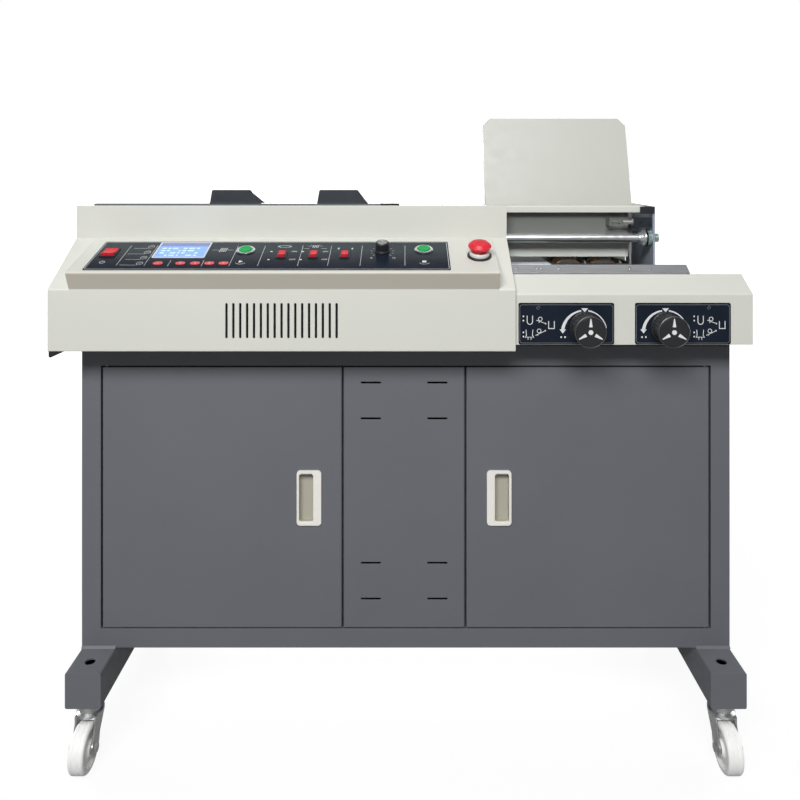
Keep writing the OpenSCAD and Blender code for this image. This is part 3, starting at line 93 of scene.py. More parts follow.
def inside(name, rim):
    """Corner and size of the field that a node's rim leaves free on the console."""
    ends = reach(name)
    return tuple(low + rim for low, high in ends), tuple(high - low - 2 * rim for low, high in ends)


# Places on the console, across and up its slope
LAMP_U, LAMP_V = middle("status_lamps")[0], (32, 53, 74, 96)
KEY_U, KEY_V = (-419, -381, -356, -332, -308), middle("membrane_keys")[1]
DISPLAY, DISPLAY_SIZE = inside("lcd_window", 2.5)
START, STOP, ESTOP = [middle(name) for name in ("start_button", "stop_button", "estop_head")]
FORCE_KNOB, POWER = pivot("force_knob"), pivot("power_rocker")
ROCKER_U, ROCKER_V = [pivot("rocker_%d" % k)[0] for k in (1, 2, 3)], pivot("rocker_1")[1]
# Upright front of the table side with its dial plates and knobs
TABLE_Y = -60.5
DIAL_X, DIAL_Z = (189.0, 384.5), 713.0
DIAL_SIZE = (160.5, 69.5)
KNOB_X = [pivots["glue_knob_%d" % k].x / MM - CAB_X for k in (1, 2)]
KNOB_Z = pivots["glue_knob_1"].z / MM
KNOB_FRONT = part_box("glue_knob_1")[0].y / MM - CAB_Y
# Rollers: their axes, where the glue on them starts, their radius, and the length that glue covers
ROLLER_X = [pivots["glue_roller_%d" % k].x / MM - CAB_X for k in (1, 2)]
ROLLER_Z = pivots["glue_roller_1"].z / MM
ROLLER_Y, ROLLER_R, CRUST_L = 93, 27.0, 30.0


# ---- Materials ----

# Paint of the covers and jaws
COVER = (0.660, 0.665, 0.610)
# Where a finish changes along an axis of the model, in metres: from its start to its full strength
# Console film: the lighter upper half is a painted reflection
FILM_REFLECTION_Z = (0.858, 0.864)
# Console lip's front face, where painted shade makes the cover paint warmer and darker
LIP_SHADE_Y, LIP_SHADE_Z = (-0.2117, -0.2122), (0.8362, 0.8355)
# Jaw plate under its flange: painted shadow darkens it towards the flange; the flange itself stays pale
JAW_SHADOW_Z, JAW_FLANGE_Z = (0.845, 0.925), (0.9255, 0.926)
TAB_Y, TAB_Z = (-0.0953, -0.0957), (0.9245, 0.9248)
WASHER_X, NUT_X = (0.4459, 0.4461), (0.4489, 0.4491)
SENSOR_ARM_X = (0.4255, 0.4257)
# Pull recess floor, darkened by painted shade
PULL_RECESS_SHADE_Y = (-0.1445, -0.1435)
RAIL_BLOCK_X = (-0.0381, -0.0379)


class Nodes:
    """Short way to build a node tree."""

    def __init__(self, name):
        self.material = bpy.data.materials.new(name)
        self.material.use_nodes = True
        self.tree = self.material.node_tree
        self.shader = self.tree.nodes["Principled BSDF"]
        self.coords = self.add("ShaderNodeTexCoord").outputs["Object"]

    @classmethod
    def of(cls, material):
        """Handle on a material that is already made."""
        n = cls.__new__(cls)
        n.material = material
        n.tree = material.node_tree
        n.shader = n.tree.nodes["Principled BSDF"]
        n.coords = n.add("ShaderNodeTexCoord").outputs["Object"]
        return n

    def add(self, kind, **values):
        node = self.tree.nodes.new(kind)
        for key, value in values.items():
            setattr(node, key, value)
        return node

    def link(self, a, b):
        self.tree.links.new(a, b)

    def product(self, a, b):
        node = self.add("ShaderNodeMath", operation="MULTIPLY")
        self.link(a, node.inputs[0])
        self.link(b, node.inputs[1])
        return node.outputs[0]

    def scaled(self, scale):
        node = self.add("ShaderNodeMapping")
        node.inputs["Scale"].default_value = scale
        self.link(self.coords, node.inputs["Vector"])
        return node.outputs["Vector"]

    def noise(self, scale, detail=3.0, stretch=None, distortion=0.0):
        node = self.add("ShaderNodeTexNoise")
        node.inputs["Scale"].default_value = scale
        node.inputs["Detail"].default_value = detail
        node.inputs["Distortion"].default_value = distortion
        self.link(self.scaled(stretch) if stretch else self.coords, node.inputs["Vector"])
        return node.outputs["Fac"]

    def axis(self, name, low, high):
        """0 at low and 1 at high along one axis of the model's frame."""
        split = self.add("ShaderNodeSeparateXYZ")
        self.link(self.coords, split.inputs[0])
        node = self.add("ShaderNodeMapRange")
        node.inputs["From Min"].default_value = low
        node.inputs["From Max"].default_value = high
        self.link(split.outputs[name], node.inputs["Value"])
        return node.outputs["Result"]

    def mix(self, factor, a, b):
        """a where the factor is 0 and b where it is 1; each a colour or a socket."""
        node = self.add("ShaderNodeMix", data_type="RGBA")
        self.link(factor, node.inputs["Factor"])
        for socket, value in ((node.inputs[6], a), (node.inputs[7], b)):
            if isinstance(value, tuple):
                socket.default_value = (*value, 1)
            else:
                self.link(value, socket)
        return node.outputs[2]

    def overpaint(self, mask, color):
        """Another colour where the mask is 1."""
        below = self.shader.inputs["Base Color"].links[0].from_socket
        self.link(self.mix(mask, below, color), self.shader.inputs["Base Color"])

    def ramp(self, factor, stops):
        node = self.add("ShaderNodeValToRGB")
        ramp = node.color_ramp
        ramp.elements[0].position, ramp.elements[0].color = stops[0][0], (*stops[0][1], 1)
        ramp.elements[1].position, ramp.elements[1].color = stops[-1][0], (*stops[-1][1], 1)
        for position, color in stops[1:-1]:
            ramp.elements.new(position).color = (*color, 1)
        self.link(factor, node.inputs["Fac"])
        return node.outputs["Color"]

    def spread(self, factor, low, high):
        node = self.add("ShaderNodeMapRange")
        node.inputs["To Min"].default_value = low
        node.inputs["To Max"].default_value = high
        node.inputs["From Min"].default_value = 0.3
        node.inputs["From Max"].default_value = 0.7
        self.link(factor, node.inputs["Value"])
        return node.outputs["Result"]

    def bump(self, height, distance, before=None):
        node = self.add("ShaderNodeBump")
        node.inputs["Distance"].default_value = distance
        node.inputs["Strength"].default_value = 1.0
        self.link(height, node.inputs["Height"])
        if before:
            self.link(before, node.inputs["Normal"])
        return node.outputs["Normal"]

    def soft_edges(self, radius):
        node = self.add("ShaderNodeBevel", samples=4)
        node.inputs["Radius"].default_value = radius
        return node.outputs["Normal"]

    def value(self, name, value):
        self.shader.inputs[name].default_value = value


def shade(color, factor):
    """Colour made lighter or darker, up to full white."""
    return tuple(min(1.0, c * factor) for c in color)


def paint(name, color, roughness, grain=0.00004, mottle=0.05):
    """Powder coat: fine orange peel, faint cloudy colour, softened sheet edges."""
    n = Nodes(name)
    n.link(n.ramp(n.noise(5.0, 4.0), [(0.3, shade(color, 1 - mottle)), (0.7, shade(color, 1 + mottle))]),
           n.shader.inputs["Base Color"])
    n.link(n.spread(n.noise(60.0, 3.0), roughness - 0.05, roughness + 0.05), n.shader.inputs["Roughness"])
    n.link(n.bump(n.noise(1500.0, 2.0), grain, n.soft_edges(0.0008)), n.shader.inputs["Normal"])
    return n.material


def moulded(name, color, roughness, grain=0.00002, coat=0.0, mottle=0.03):
    """Moulded plastic: fine spark-eroded grain and faint flow colour."""
    n = Nodes(name)
    n.link(n.ramp(n.noise(40.0, 3.0), [(0.3, shade(color, 1 - mottle)), (0.7, shade(color, 1 + mottle))]),
           n.shader.inputs["Base Color"])
    n.link(n.spread(n.noise(300.0, 2.0), roughness - 0.04, roughness + 0.04), n.shader.inputs["Roughness"])
    n.value("Coat Weight", coat)
    n.link(n.bump(n.noise(2500.0, 2.0), grain, n.soft_edges(0.0004)), n.shader.inputs["Normal"])
    return n.material


def metal(name, color, roughness, stretch=(1, 1, 1), grain=0.00003, scale=700.0, mottle=0.12):
    """Metal with drawn or ground lines where stretch is uneven."""
    n = Nodes(name)
    lines = n.noise(scale, 4.0, stretch)
    n.link(n.ramp(lines, [(0.25, shade(color, 1 - mottle)), (0.75, shade(color, 1 + mottle))]),
           n.shader.inputs["Base Color"])
    n.value("Metallic", 1.0)
    cloud = n.noise(90.0, 3.0, stretch)
    n.link(n.spread(cloud, roughness - 0.06, roughness + 0.06), n.shader.inputs["Roughness"])
    n.link(n.bump(lines, grain, n.soft_edges(0.0003)), n.shader.inputs["Normal"])
    return n.material


def zinc_plate(name, color, roughness):
    """Plated steel: cloudy spangle with a faint yellow passivation."""
    n = Nodes(name)
    cells = n.add("ShaderNodeTexVoronoi")
    cells.inputs["Scale"].default_value = 350.0
    n.link(n.coords, cells.inputs["Vector"])
    yellowed = (color[0], color[1] * 0.98, color[2] * 0.9)
    n.link(n.ramp(cells.outputs["Distance"], [(0.0, shade(color, 0.9)), (0.6, color), (1.0, yellowed)]),
           n.shader.inputs["Base Color"])
    n.value("Metallic", 1.0)
    n.link(n.spread(n.noise(120.0, 3.0), roughness - 0.06, roughness + 0.08), n.shader.inputs["Roughness"])
    n.link(n.bump(n.noise(900.0, 3.0), 0.00003, n.soft_edges(0.0003)), n.shader.inputs["Normal"])
    return n.material


def film(name):
    """Printed polyester film: near-black ink with a screen texture, and a painted reflection that makes the
    console's upper half lighter.
    """
    n = Nodes(name)
    cloud = n.ramp(n.noise(25.0, 3.0), [(0.3, (0.010, 0.015, 0.025)), (0.7, (0.013, 0.019, 0.031))])
    # Painted reflection: a lighter tone added over the console's upper half
    upper = n.mix(n.axis("Z", *FILM_REFLECTION_Z), (0.0, 0.0, 0.0), (0.006, 0.012, 0.010))
    both = n.add("ShaderNodeMix", data_type="RGBA", blend_type="ADD")
    both.inputs["Factor"].default_value = 1.0
    n.link(cloud, both.inputs[6])
    n.link(upper, both.inputs[7])
    n.link(both.outputs[2], n.shader.inputs["Base Color"])
    n.link(n.spread(n.noise(200.0, 3.0), 0.16, 0.24), n.shader.inputs["Roughness"])
    n.value("Specular IOR Level", 0.16)
    n.link(n.bump(n.noise(1200.0, 2.0), 0.00001), n.shader.inputs["Normal"])
    return n.material


def ink(name, color):
    """Screen-printed ink: slightly uneven cover."""
    n = Nodes(name)
    cover = n.ramp(n.noise(900.0, 2.0), [(0.3, shade(color, 0.85)), (0.7, color)])
    n.link(cover, n.shader.inputs["Base Color"])
    n.value("Roughness", 0.5)
    n.link(n.bump(n.noise(3000.0, 2.0), 0.000005), n.shader.inputs["Normal"])
    return n.material


def display_glow(name, color, strength):
    """Backlit display: a fine cell grid over the glow."""
    n = Nodes(name)
    waves = []
    for direction in ("X", "Y"):
        wave = n.add("ShaderNodeTexWave", bands_direction=direction)
        wave.inputs["Scale"].default_value = 300.0
        n.link(n.coords, wave.inputs["Vector"])
        waves.append(wave.outputs["Fac"])
    tone = n.ramp(n.product(*waves), [(0.0, shade(color, 0.9)), (1.0, shade(color, 1.05))])
    n.link(tone, n.shader.inputs["Base Color"])
    n.link(tone, n.shader.inputs["Emission Color"])
    n.value("Emission Strength", strength)
    n.value("Roughness", 0.15)
    return n.material


def glue_crust_material(name):
    """Dried hot-melt glue: amber to brown lumps with pale strings."""
    n = Nodes(name)
    n.link(n.ramp(n.noise(160.0, 6.0, distortion=0.6),
                  [(0.3, (0.05, 0.018, 0.006)), (0.5, (0.22, 0.10, 0.03)), (0.68, (0.62, 0.47, 0.25))]),
           n.shader.inputs["Base Color"])
    n.link(n.spread(n.noise(90.0, 3.0), 0.25, 0.6), n.shader.inputs["Roughness"])
    n.value("Subsurface Weight", 0.1)
    n.value("Subsurface Radius", (0.002, 0.001, 0.0005))
    n.link(n.bump(n.noise(400.0, 5.0), 0.0008), n.shader.inputs["Normal"])
    return n.material


def console_paint_and_shade():
    """Cover paint with painted shade on the console lip's front face, which is a little warmer and darker there.
    """
    n = Nodes.of(paint("console_paint_and_shade", COVER, 0.40, mottle=0.012))
    # Painted shade on the lip's front face
    n.overpaint(n.product(n.axis("Y", *LIP_SHADE_Y), n.axis("Z", *LIP_SHADE_Z)), (0.560, 0.528, 0.448))
    return n.material


def jaw_paint_and_shadow():
    """Pale flange over a plate with painted shadow of the flange, which darkens the plate towards it."""
    n = Nodes.of(paint("jaw_paint_and_shadow", COVER, 0.40, mottle=0.012))
    # Painted shadow of the flange: light grey-olive low on the plate, near black just under the flange
    plate = n.ramp(n.axis("Z", *JAW_SHADOW_Z), [(0.0, (0.60, 0.615, 0.58)), (0.38, (0.48, 0.495, 0.46)),
                                               (0.55, (0.19, 0.20, 0.185)), (1.0, (0.125, 0.132, 0.122))])
    n.overpaint(n.axis("Z", *reversed(JAW_FLANGE_Z)), plate)
    return n.material


def bracket_paint():
    """Blue-grey end plates; the folded tab on top is near black."""
    n = Nodes.of(paint("bracket_paint", (0.30, 0.335, 0.40), 0.45))
    n.overpaint(n.product(n.axis("Z", *TAB_Z), n.axis("Y", *TAB_Y)), (0.016, 0.018, 0.024))
    return n.material


def shaft_finish():
    """Chromed shafts, with a black washer and a nut in greenish zinc before the right bracket."""
    n = Nodes.of(metal("shaft_finish", (0.93, 0.96, 1.0), 0.34, (1, 0.05, 0.05), mottle=0.04))
    n.overpaint(n.axis("X", *WASHER_X), (0.02, 0.02, 0.022))
    n.overpaint(n.axis("X", *NUT_X), (0.58, 0.76, 0.74))
    return n.material


def sensor_finish():
    """Silver barrel and nuts on a dark arm."""
    n = Nodes.of(zinc_plate("sensor_finish", (0.62, 0.60, 0.62), 0.32))
    n.overpaint(n.axis("X", *SENSOR_ARM_X), (0.11, 0.125, 0.15))
    return n.material


def pull_finish_and_shade():
    """Pale flange round a recess whose floor has painted shade, a darker tone."""
    n = Nodes.of(moulded("pull_finish_and_shade", (0.86, 0.84, 0.78), 0.42, grain=0.00005))
    # Painted shade on the recess floor
    n.overpaint(n.axis("Y", *PULL_RECESS_SHADE_Y), (0.44, 0.42, 0.35))
    return n.material


def rail_finish():
    """Grey guide rail with a black block at its right end."""
    n = Nodes.of(paint("rail_finish", (0.135, 0.150, 0.168), 0.4))
    n.overpaint(n.axis("X", *RAIL_BLOCK_X), (0.016, 0.017, 0.020))
    return n.material


M = {
    "frame_paint": paint("frame_paint", (0.136, 0.143, 0.160), 0.5, grain=0.00006, mottle=0.035),
    "cover_paint": paint("cover_paint", COVER, 0.40, mottle=0.012),
    "dark_paint": paint("dark_paint", (0.026, 0.031, 0.038), 0.45),
    "overlay_film": film("overlay_film"),
    "black_plastic": moulded("black_plastic", (0.018, 0.019, 0.022), 0.42, grain=0.00004),
    "pale_plastic": moulded("pale_plastic", (0.72, 0.72, 0.69), 0.3),
    "red_plastic": moulded("red_plastic", (0.70, 0.022, 0.040), 0.36),
    "green_plastic": moulded("green_plastic", (0.003, 0.36, 0.085), 0.5),
    "pull_plastic": pull_finish_and_shade(),
    "wheel_nylon": moulded("wheel_nylon", (0.97, 0.97, 0.955), 0.4, grain=0.00004, mottle=0.01),
    "zinc": zinc_plate("zinc", (0.62, 0.63, 0.63), 0.32),
    "rail_steel": metal("rail_steel", (0.55, 0.565, 0.585), 0.42, (0.03, 1, 1), mottle=0.2),
    "chromed_shaft": metal("chromed_shaft", (0.78, 0.80, 0.83), 0.12, (1, 0.05, 0.05), mottle=0.04),
    "tank_casting": metal("tank_casting", (0.16, 0.16, 0.17), 0.45, scale=300.0, grain=0.0001),
    "bright_sheet": moulded("bright_sheet", (0.84, 0.88, 0.93), 0.22),
    "roller_steel": metal("roller_steel", (0.33, 0.30, 0.26), 0.35, (1, 0.05, 1)),
    "lamp_lens": moulded("lamp_lens", (0.13, 0.135, 0.14), 0.25, coat=0.3),
    "display": moulded("display", (0.70, 0.72, 0.78), 0.3),
}
WHITE_INK = ink("white_ink", (0.80, 0.81, 0.82))
GREY_INK = ink("grey_ink", (0.17, 0.18, 0.19))
GLOW = display_glow("display_glow", (0.20, 0.37, 0.80), 0.38)
GLOW_BAND = display_glow("display_band", (0.16, 0.20, 0.40), 0.35)
GLOW_MARK = display_glow("display_mark", (0.50, 0.68, 0.96), 0.45)
GLUE = glue_crust_material("dried_glue")
PAINTED_SHADE_LINER = moulded("shade_liner_paint", (0.006, 0.006, 0.007), 0.8)
KEY_MARK = ink("key_mark", (0.85, 0.62, 0.62))

slots = {row["node"]: row["material_slot"] for row in frame["record"]["subparts"]}
jaws = jaw_paint_and_shadow()
# The carriage frame shares the jaw's painted shadow, so its parts below the flange are dark
own = {"front_jaw": jaws, "carriage_frame": jaws, "shaft_brackets": bracket_paint(),
       "guide_shafts": shaft_finish(), "home_sensor": sensor_finish(), "guide_rail": rail_finish(),
       "left_cover": console_paint_and_shade(),
       # Backrest: a darker copy of the cover paint, painted shade against the extra light its tilted face gets
       "backrest": paint("backrest_shaded_paint", (0.52, 0.525, 0.48), 0.42, mottle=0.012)}
for name, node in nodes.items():
    node.data.materials.clear()
    node.data.materials.append(own.get(name) or M[slots[name]])

# ---- Mesh helpers ----


def add_piece(name, mesh, material, body, matrix):
    """New piece from a mesh in local millimetres; it rides on a body and takes the given material."""
    mesh.name = name
    piece = bpy.data.objects.new(name, mesh)
    bpy.context.scene.collection.objects.link(piece)
    mesh.transform(matrix)
    mesh.materials.append(material)
    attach(piece, body)


def from_bmesh(bm):
    """Mesh with its faces turned outwards."""
    bmesh.ops.recalc_face_normals(bm, faces=bm.faces)
    mesh = bpy.data.meshes.new("piece")
    bm.to_mesh(mesh)
    bm.free()
    return mesh


def smooth(mesh, angle=35.0):
    """Smooth shading, with edges over the angle (degrees) kept sharp."""
    mesh.shade_smooth()
    mesh.set_sharp_from_angle(angle=math.radians(angle))


def add_prism(bm, points, z0, z1):
    """Closed prism over an outline that runs anticlockwise."""
    low = [bm.verts.new((x, y, z0)) for x, y in points]
    high = [bm.verts.new((x, y, z1)) for x, y in points]
    count = len(points)
    bm.faces.new(list(reversed(low)))
    bm.faces.new(high)
    for i in range(count):
        j = (i + 1) % count
        bm.faces.new((low[i], low[j], high[j], high[i]))


def add_ribbon(bm, points, width, z0, z1, closed=False):
    """Closed strip of a given width along a line; width may be a list, one value a point."""
    count = len(points)
    widths = width if isinstance(width, (list, tuple)) else [width] * count
    points = [Vector(p) for p in points]
    left, right = [], []
    for i, p in enumerate(points):
        before = points[i - 1] if closed or i else None
        after = points[(i + 1) % count] if closed or i < count - 1 else None
        a = (p - before).normalized() if before is not None else None
        b = (after - p).normalized() if after is not None else None
        a, b = a or b, b or a
        side = Vector((-(a.y + b.y), a.x + b.x)).normalized()
        reach = widths[i] / 2 / max(0.4, side.dot(Vector((-a.y, a.x))))
        left.append(p + side * reach)
        right.append(p - side * reach)
    rows = [[bm.verts.new((q.x, q.y, z)) for q in line] for line in (left, right) for z in (z0, z1)]
    left_low, left_high, right_low, right_high = rows
    for i in range(count if closed else count - 1):
        j = (i + 1) % count
        bm.faces.new((right_high[i], right_high[j], left_high[j], left_high[i]))
        bm.faces.new((right_low[j], right_low[i], left_low[i], left_low[j]))
        bm.faces.new((left_high[i], left_high[j], left_low[j], left_low[i]))
        bm.faces.new((right_high[j], right_high[i], right_low[i], right_low[j]))
    if not closed:
        for i, order in ((0, 1), (count - 1, -1)):
            face = (left_high[i], left_low[i], right_low[i], right_high[i])
            bm.faces.new(face[::order])


def arc(center, radius, start, end, steps):
    """Points along an arc; angles in degrees."""
    return [(center[0] + radius * math.cos(math.radians(start + (end - start) * i / steps)),
             center[1] + radius * math.sin(math.radians(start + (end - start) * i / steps)))
            for i in range(steps + 1)]


def rounded_box(x0, y0, x1, y1, r, steps=4):
    """Outline of a rectangle with round corners, anticlockwise."""
    corners = ((x1 - r, y0 + r), (x1 - r, y1 - r), (x0 + r, y1 - r), (x0 + r, y0 + r))
    points = []
    for k, corner in enumerate(corners):
        points += arc(corner, r, 90 * k - 90, 90 * k, steps)
    return points


def ring(center, radius, steps=24):
    """Points round a circle, without the first one again at the end."""
    return arc(center, radius, 0, 360 - 360 / steps, steps - 1)


def lathe(points, steps=64):
    """Closed turned form from an outline of (radius, height); a radius of 0 lies on the axis."""
    bm = bmesh.new()
    turn = [(math.cos(2 * math.pi * k / steps), math.sin(2 * math.pi * k / steps)) for k in range(steps)]
    rows = []
    for r, z in points:
        if r <= 0:
            rows.append([bm.verts.new((0, 0, z))])
        else:
            rows.append([bm.verts.new((r * c, r * s, z)) for c, s in turn])
    pairs = list(zip(rows, rows[1:]))
    if len(rows[0]) > 1:
        pairs.append((rows[-1], rows[0]))
    for a, b in pairs:
        for k in range(steps):
            j = (k + 1) % steps
            if len(a) == 1:
                bm.faces.new((a[0], b[k], b[j]))
            elif len(b) == 1:
                bm.faces.new((a[k], a[j], b[0]))
            else:
                bm.faces.new((a[k], a[j], b[j], b[k]))
    mesh = from_bmesh(bm)
    smooth(mesh)
    return mesh


def letters(text, size):
    """Mesh outline of a short word in the built-in font, centred; local millimetres."""
    curve = bpy.data.curves.new("word", "FONT")
    curve.body, curve.size, curve.extrude = text, size, INK_T / 2
    curve.align_x, curve.align_y = "CENTER", "CENTER"
    item = bpy.data.objects.new("word", curve)
    bpy.context.scene.collection.objects.link(item)
    mesh = bpy.data.meshes.new_from_object(item.evaluated_get(bpy.context.evaluated_depsgraph_get()))
    bpy.data.objects.remove(item)
    bpy.data.curves.remove(curve)
    return mesh


def add_letters(bm, text, size, x, y):
    """Add a word to a mesh of printed ink."""
    mesh = letters(text, size)
    mesh.transform(Matrix.Translation((x, y, INK_T / 2)))
    bm.from_mesh(mesh)
    bpy.data.meshes.remove(mesh)


# ---- Console print ----

def console_print():
    """Border, dividers, leaders and plain signs on the console's film."""
    bm = bmesh.new()

    def line(points, width=0.6, closed=False):
        add_ribbon(bm, points, width, SUNK, INK_T, closed)

    def patch(points):
        add_prism(bm, points, SUNK, INK_T)

    line(rounded_box(-535.5, 11, 72.5, 114.5, 2.5), 0.7, True)
    # Dividers: round the lamps, between the switches, and between the keys
    for places, v0, v1 in (((-487, -440), 24, 101), ((-297, -249, -182, -131.5, -77, -1.5), 23, 100.5),
                           ((-400, -343.5), 22, 43)):
        for u in places:
            line([(u, v0), (u, v1)])
    # Leaders from the lamps, and a ring round each
    for k, v in enumerate(LAMP_V):
        line([(LAMP_U - 32 + (k % 2) * 3, v - 6.5), (LAMP_U - 3, v - 6.5)], 0.5)
        line(ring((LAMP_U, v), 5.6, 20), 0.45, True)
    # Book and clamp sign beside the first button
    line([(-339, 83), (-328, 83)], 0.6)
    line([(-313, 83), (-302, 83)], 0.6)
    for k in range(4):
        line([(-326 + k * 3.4, 76), (-324 + k * 3.4, 91)], 1.2)
    # Cutter sign: a toothed ring seen flat
    teeth = [(-214 + (9.5 if i % 2 else 12.5) * math.cos(i * math.pi / 14),
              97 + (3.2 if i % 2 else 5.2) * math.sin(i * math.pi / 14)) for i in range(28)]
    line(teeth, 0.6, True)
    # Book sign with rays over the second rocker
    for k in range(4):
        line([(-164.5 + k * 3, 92), (-163.5 + k * 3, 102)], 1.1)
    for a in (20, 50, 130, 160):
        c, s = math.cos(math.radians(a)), math.sin(math.radians(a))
        line([(-159.5 + 9 * c, 95 + 7 * s), (-159.5 + 14 * c, 95 + 10.5 * s)], 0.5)
    line([(-180, 89), (-170, 89)], 0.5)
    line([(-149, 89), (-139, 89)], 0.5)
    # Arrows at the third rocker
    for side in (-1, 1):
        x = ROCKER_U[2] + side * 12
        patch([(x - 2.2, 88), (x + 2.2, 88), (x, 92.5)])
        line([(x, 84), (x, 88.2)], 0.8)
    # Scale round the force knob
    ticks = 10
    for k in range(ticks + 1):
        a = math.radians(225 - k * 270 / ticks)
        reach = (17.5, 22.5 if k % 5 == 0 else 20.8)
        line([(FORCE_KNOB[0] + r * math.cos(a), FORCE_KNOB[1] + r * math.sin(a)) for r in reach], 0.55)
    add_letters(bm, "0", 6.5, FORCE_KNOB[0] - 18, 52)
    add_letters(bm, "10", 6.5, FORCE_KNOB[0] + 20, 52)
    for u in ROCKER_U[:2]:
        add_letters(bm, "ON", 6.0, u + 20, 77)
        add_letters(bm, "OFF", 6.0, u + 21, 46)
        for v in (77, 46):
            patch(rounded_box(u - 21.5, v - 1.6, u - 17.5, v + 1.6, 0.8))
    # Start and stop signs under the two buttons, and the power sign
    sign_v = 38.5
    u = START[0]
    patch([(u - 3.5, sign_v - 4.5), (u + 3.5, sign_v), (u - 3.5, sign_v + 4.5)])
    line(arc((u, sign_v), 9.5, -150, -30, 12), 0.7)
    u = STOP[0]
    patch(rounded_box(u - 3.5, sign_v - 3.5, u + 3.5, sign_v + 3.5, 0.8))
    line(arc((u, sign_v), 9.5, -150, -30, 12), 0.7)
    line(arc((POWER[0], 36), 4.2, 115, 425, 18), 0.9)
    line([(POWER[0], 36), (POWER[0], 42)], 0.9)
    add_piece("console_print", from_bmesh(bm), WHITE_INK, "root", console(0, 0))


def key_marks():
    """Oval on each key: a tick on the first, arrows up and down by turns on the others."""
    bm = bmesh.new()
    z0, z1 = 0.75, 0.88
    v = KEY_V
    for u in KEY_U:
        add_ribbon(bm, [(u + 6.9 * math.cos(a * math.pi / 14), v + 4.0 * math.sin(a * math.pi / 14))
                        for a in range(28)], 0.55, z0, z1, True)
    for u in KEY_U[1::2]:
        add_prism(bm, [(u - 2.2, v - 1.4), (u + 2.2, v - 1.4), (u, v + 2.4)], z0, z1)
    for u in KEY_U[2::2]:
        add_prism(bm, [(u - 2.2, v + 1.2), (u, v - 2.4), (u + 2.2, v + 1.2)], z0, z1)
    u = KEY_U[0]
    add_ribbon(bm, [(u - 2.5, v - 1.4), (u - 0.6, v - 1.4), (u + 2, v + 1.6)], 0.9, z0, z1)
    add_piece("key_marks", from_bmesh(bm), KEY_MARK, "root", console(0, 0))


def display_face():
    """Lit face inside the display's recess: the field, a dark heading band and plain rows of cells."""
    w, h = DISPLAY_SIZE
    band = 42.0
    edge, z0, z1 = 0.3, 0.35, 0.8
    for name, low, high, material in (("display_field", edge, band, GLOW),
                                      ("display_band", band, h - edge, GLOW_BAND)):
        bm = bmesh.new()
        add_prism(bm, rounded_box(edge, low, w - edge, high, edge, 1), z0, z1)
        add_piece(name, from_bmesh(bm), material, "root", console(*DISPLAY))
    bm = bmesh.new()
    for row, z in enumerate((34, 25, 16, 7)):
        x = 6.0
        for k, w in enumerate((9, 6, 11, 5, 8, 12, 7)):
            if (row + k) % 4 != 3:
                add_prism(bm, rounded_box(x, z - 2.2, x + w - 1.4, z + 2.2, 0.5, 1), z1 - 0.02, z1 + 0.04)
            x += w + 1.6
    add_piece("display_rows", from_bmesh(bm), GLOW_MARK, "root", console(*DISPLAY))


def switch_trim():
    """Rings, caps and marks on the console's switches."""
    # Bright rings round the two push buttons
    profile = [(11.45, 0.2), (16.3, 0.05), (16.5, 0.6), (16.3, 1.8), (14.8, 2.95), (12.0, 3.0), (11.45, 2.4)]
    for name, spot in (("start_ring", START), ("stop_ring", STOP)):
        add_piece(name, lathe(profile), M["chromed_shaft"], "root", console(*spot))
    # Dark mounting ring of the emergency stop
    profile = [(17.4, 0.0), (20.9, 0.0), (20.9, 2.5), (19.7, 3.4), (17.4, 3.4)]
    add_piece("estop_base_ring", lathe(profile), M["black_plastic"], "root",
              console(*ESTOP, 0.05))
    # Force knob: metal cap with a white line
    profile = [(0.0, 17.3), (8.0, 17.3), (8.6, 17.9), (8.3, 18.2), (0.0, 18.35)]
    add_piece("force_knob_cap", lathe(profile, 48), M["rail_steel"], "force_knob",
              console(*FORCE_KNOB))
    bm = bmesh.new()
    add_prism(bm, [(-0.5, 2.5), (0.5, 2.5), (0.5, 8.0), (-0.5, 8.0)], 18.1, 18.45)
    add_piece("force_knob_line", from_bmesh(bm), WHITE_INK, "force_knob",
              console(*FORCE_KNOB))
    # Ring and bar of each rocker lie on its tilted face
    rockers = [("power_rocker", *POWER, 12.5)]
    rockers += [("rocker_%d" % (k + 1), u, ROCKER_V, 10) for k, u in enumerate(ROCKER_U)]
    for name, u, v, half in rockers:
        z0, z1 = 6.05, 6.13
        bm = bmesh.new()
        add_ribbon(bm, ring((0, -half * 0.62), 1.5, 16), 0.5, z0, z1, True)
        v0, v1 = half * 0.45, half * 0.75
        add_prism(bm, [(-0.35, v0), (0.35, v0), (0.35, v1), (-0.35, v1)], z0, z1)
        tilt = console(u, v, FILM - 3) @ Matrix.Rotation(math.radians(-8), 4, "X")
        add_piece(name + "_mark", from_bmesh(bm), KEY_MARK, name, tilt)


# ---- Dial plates and knobs ----


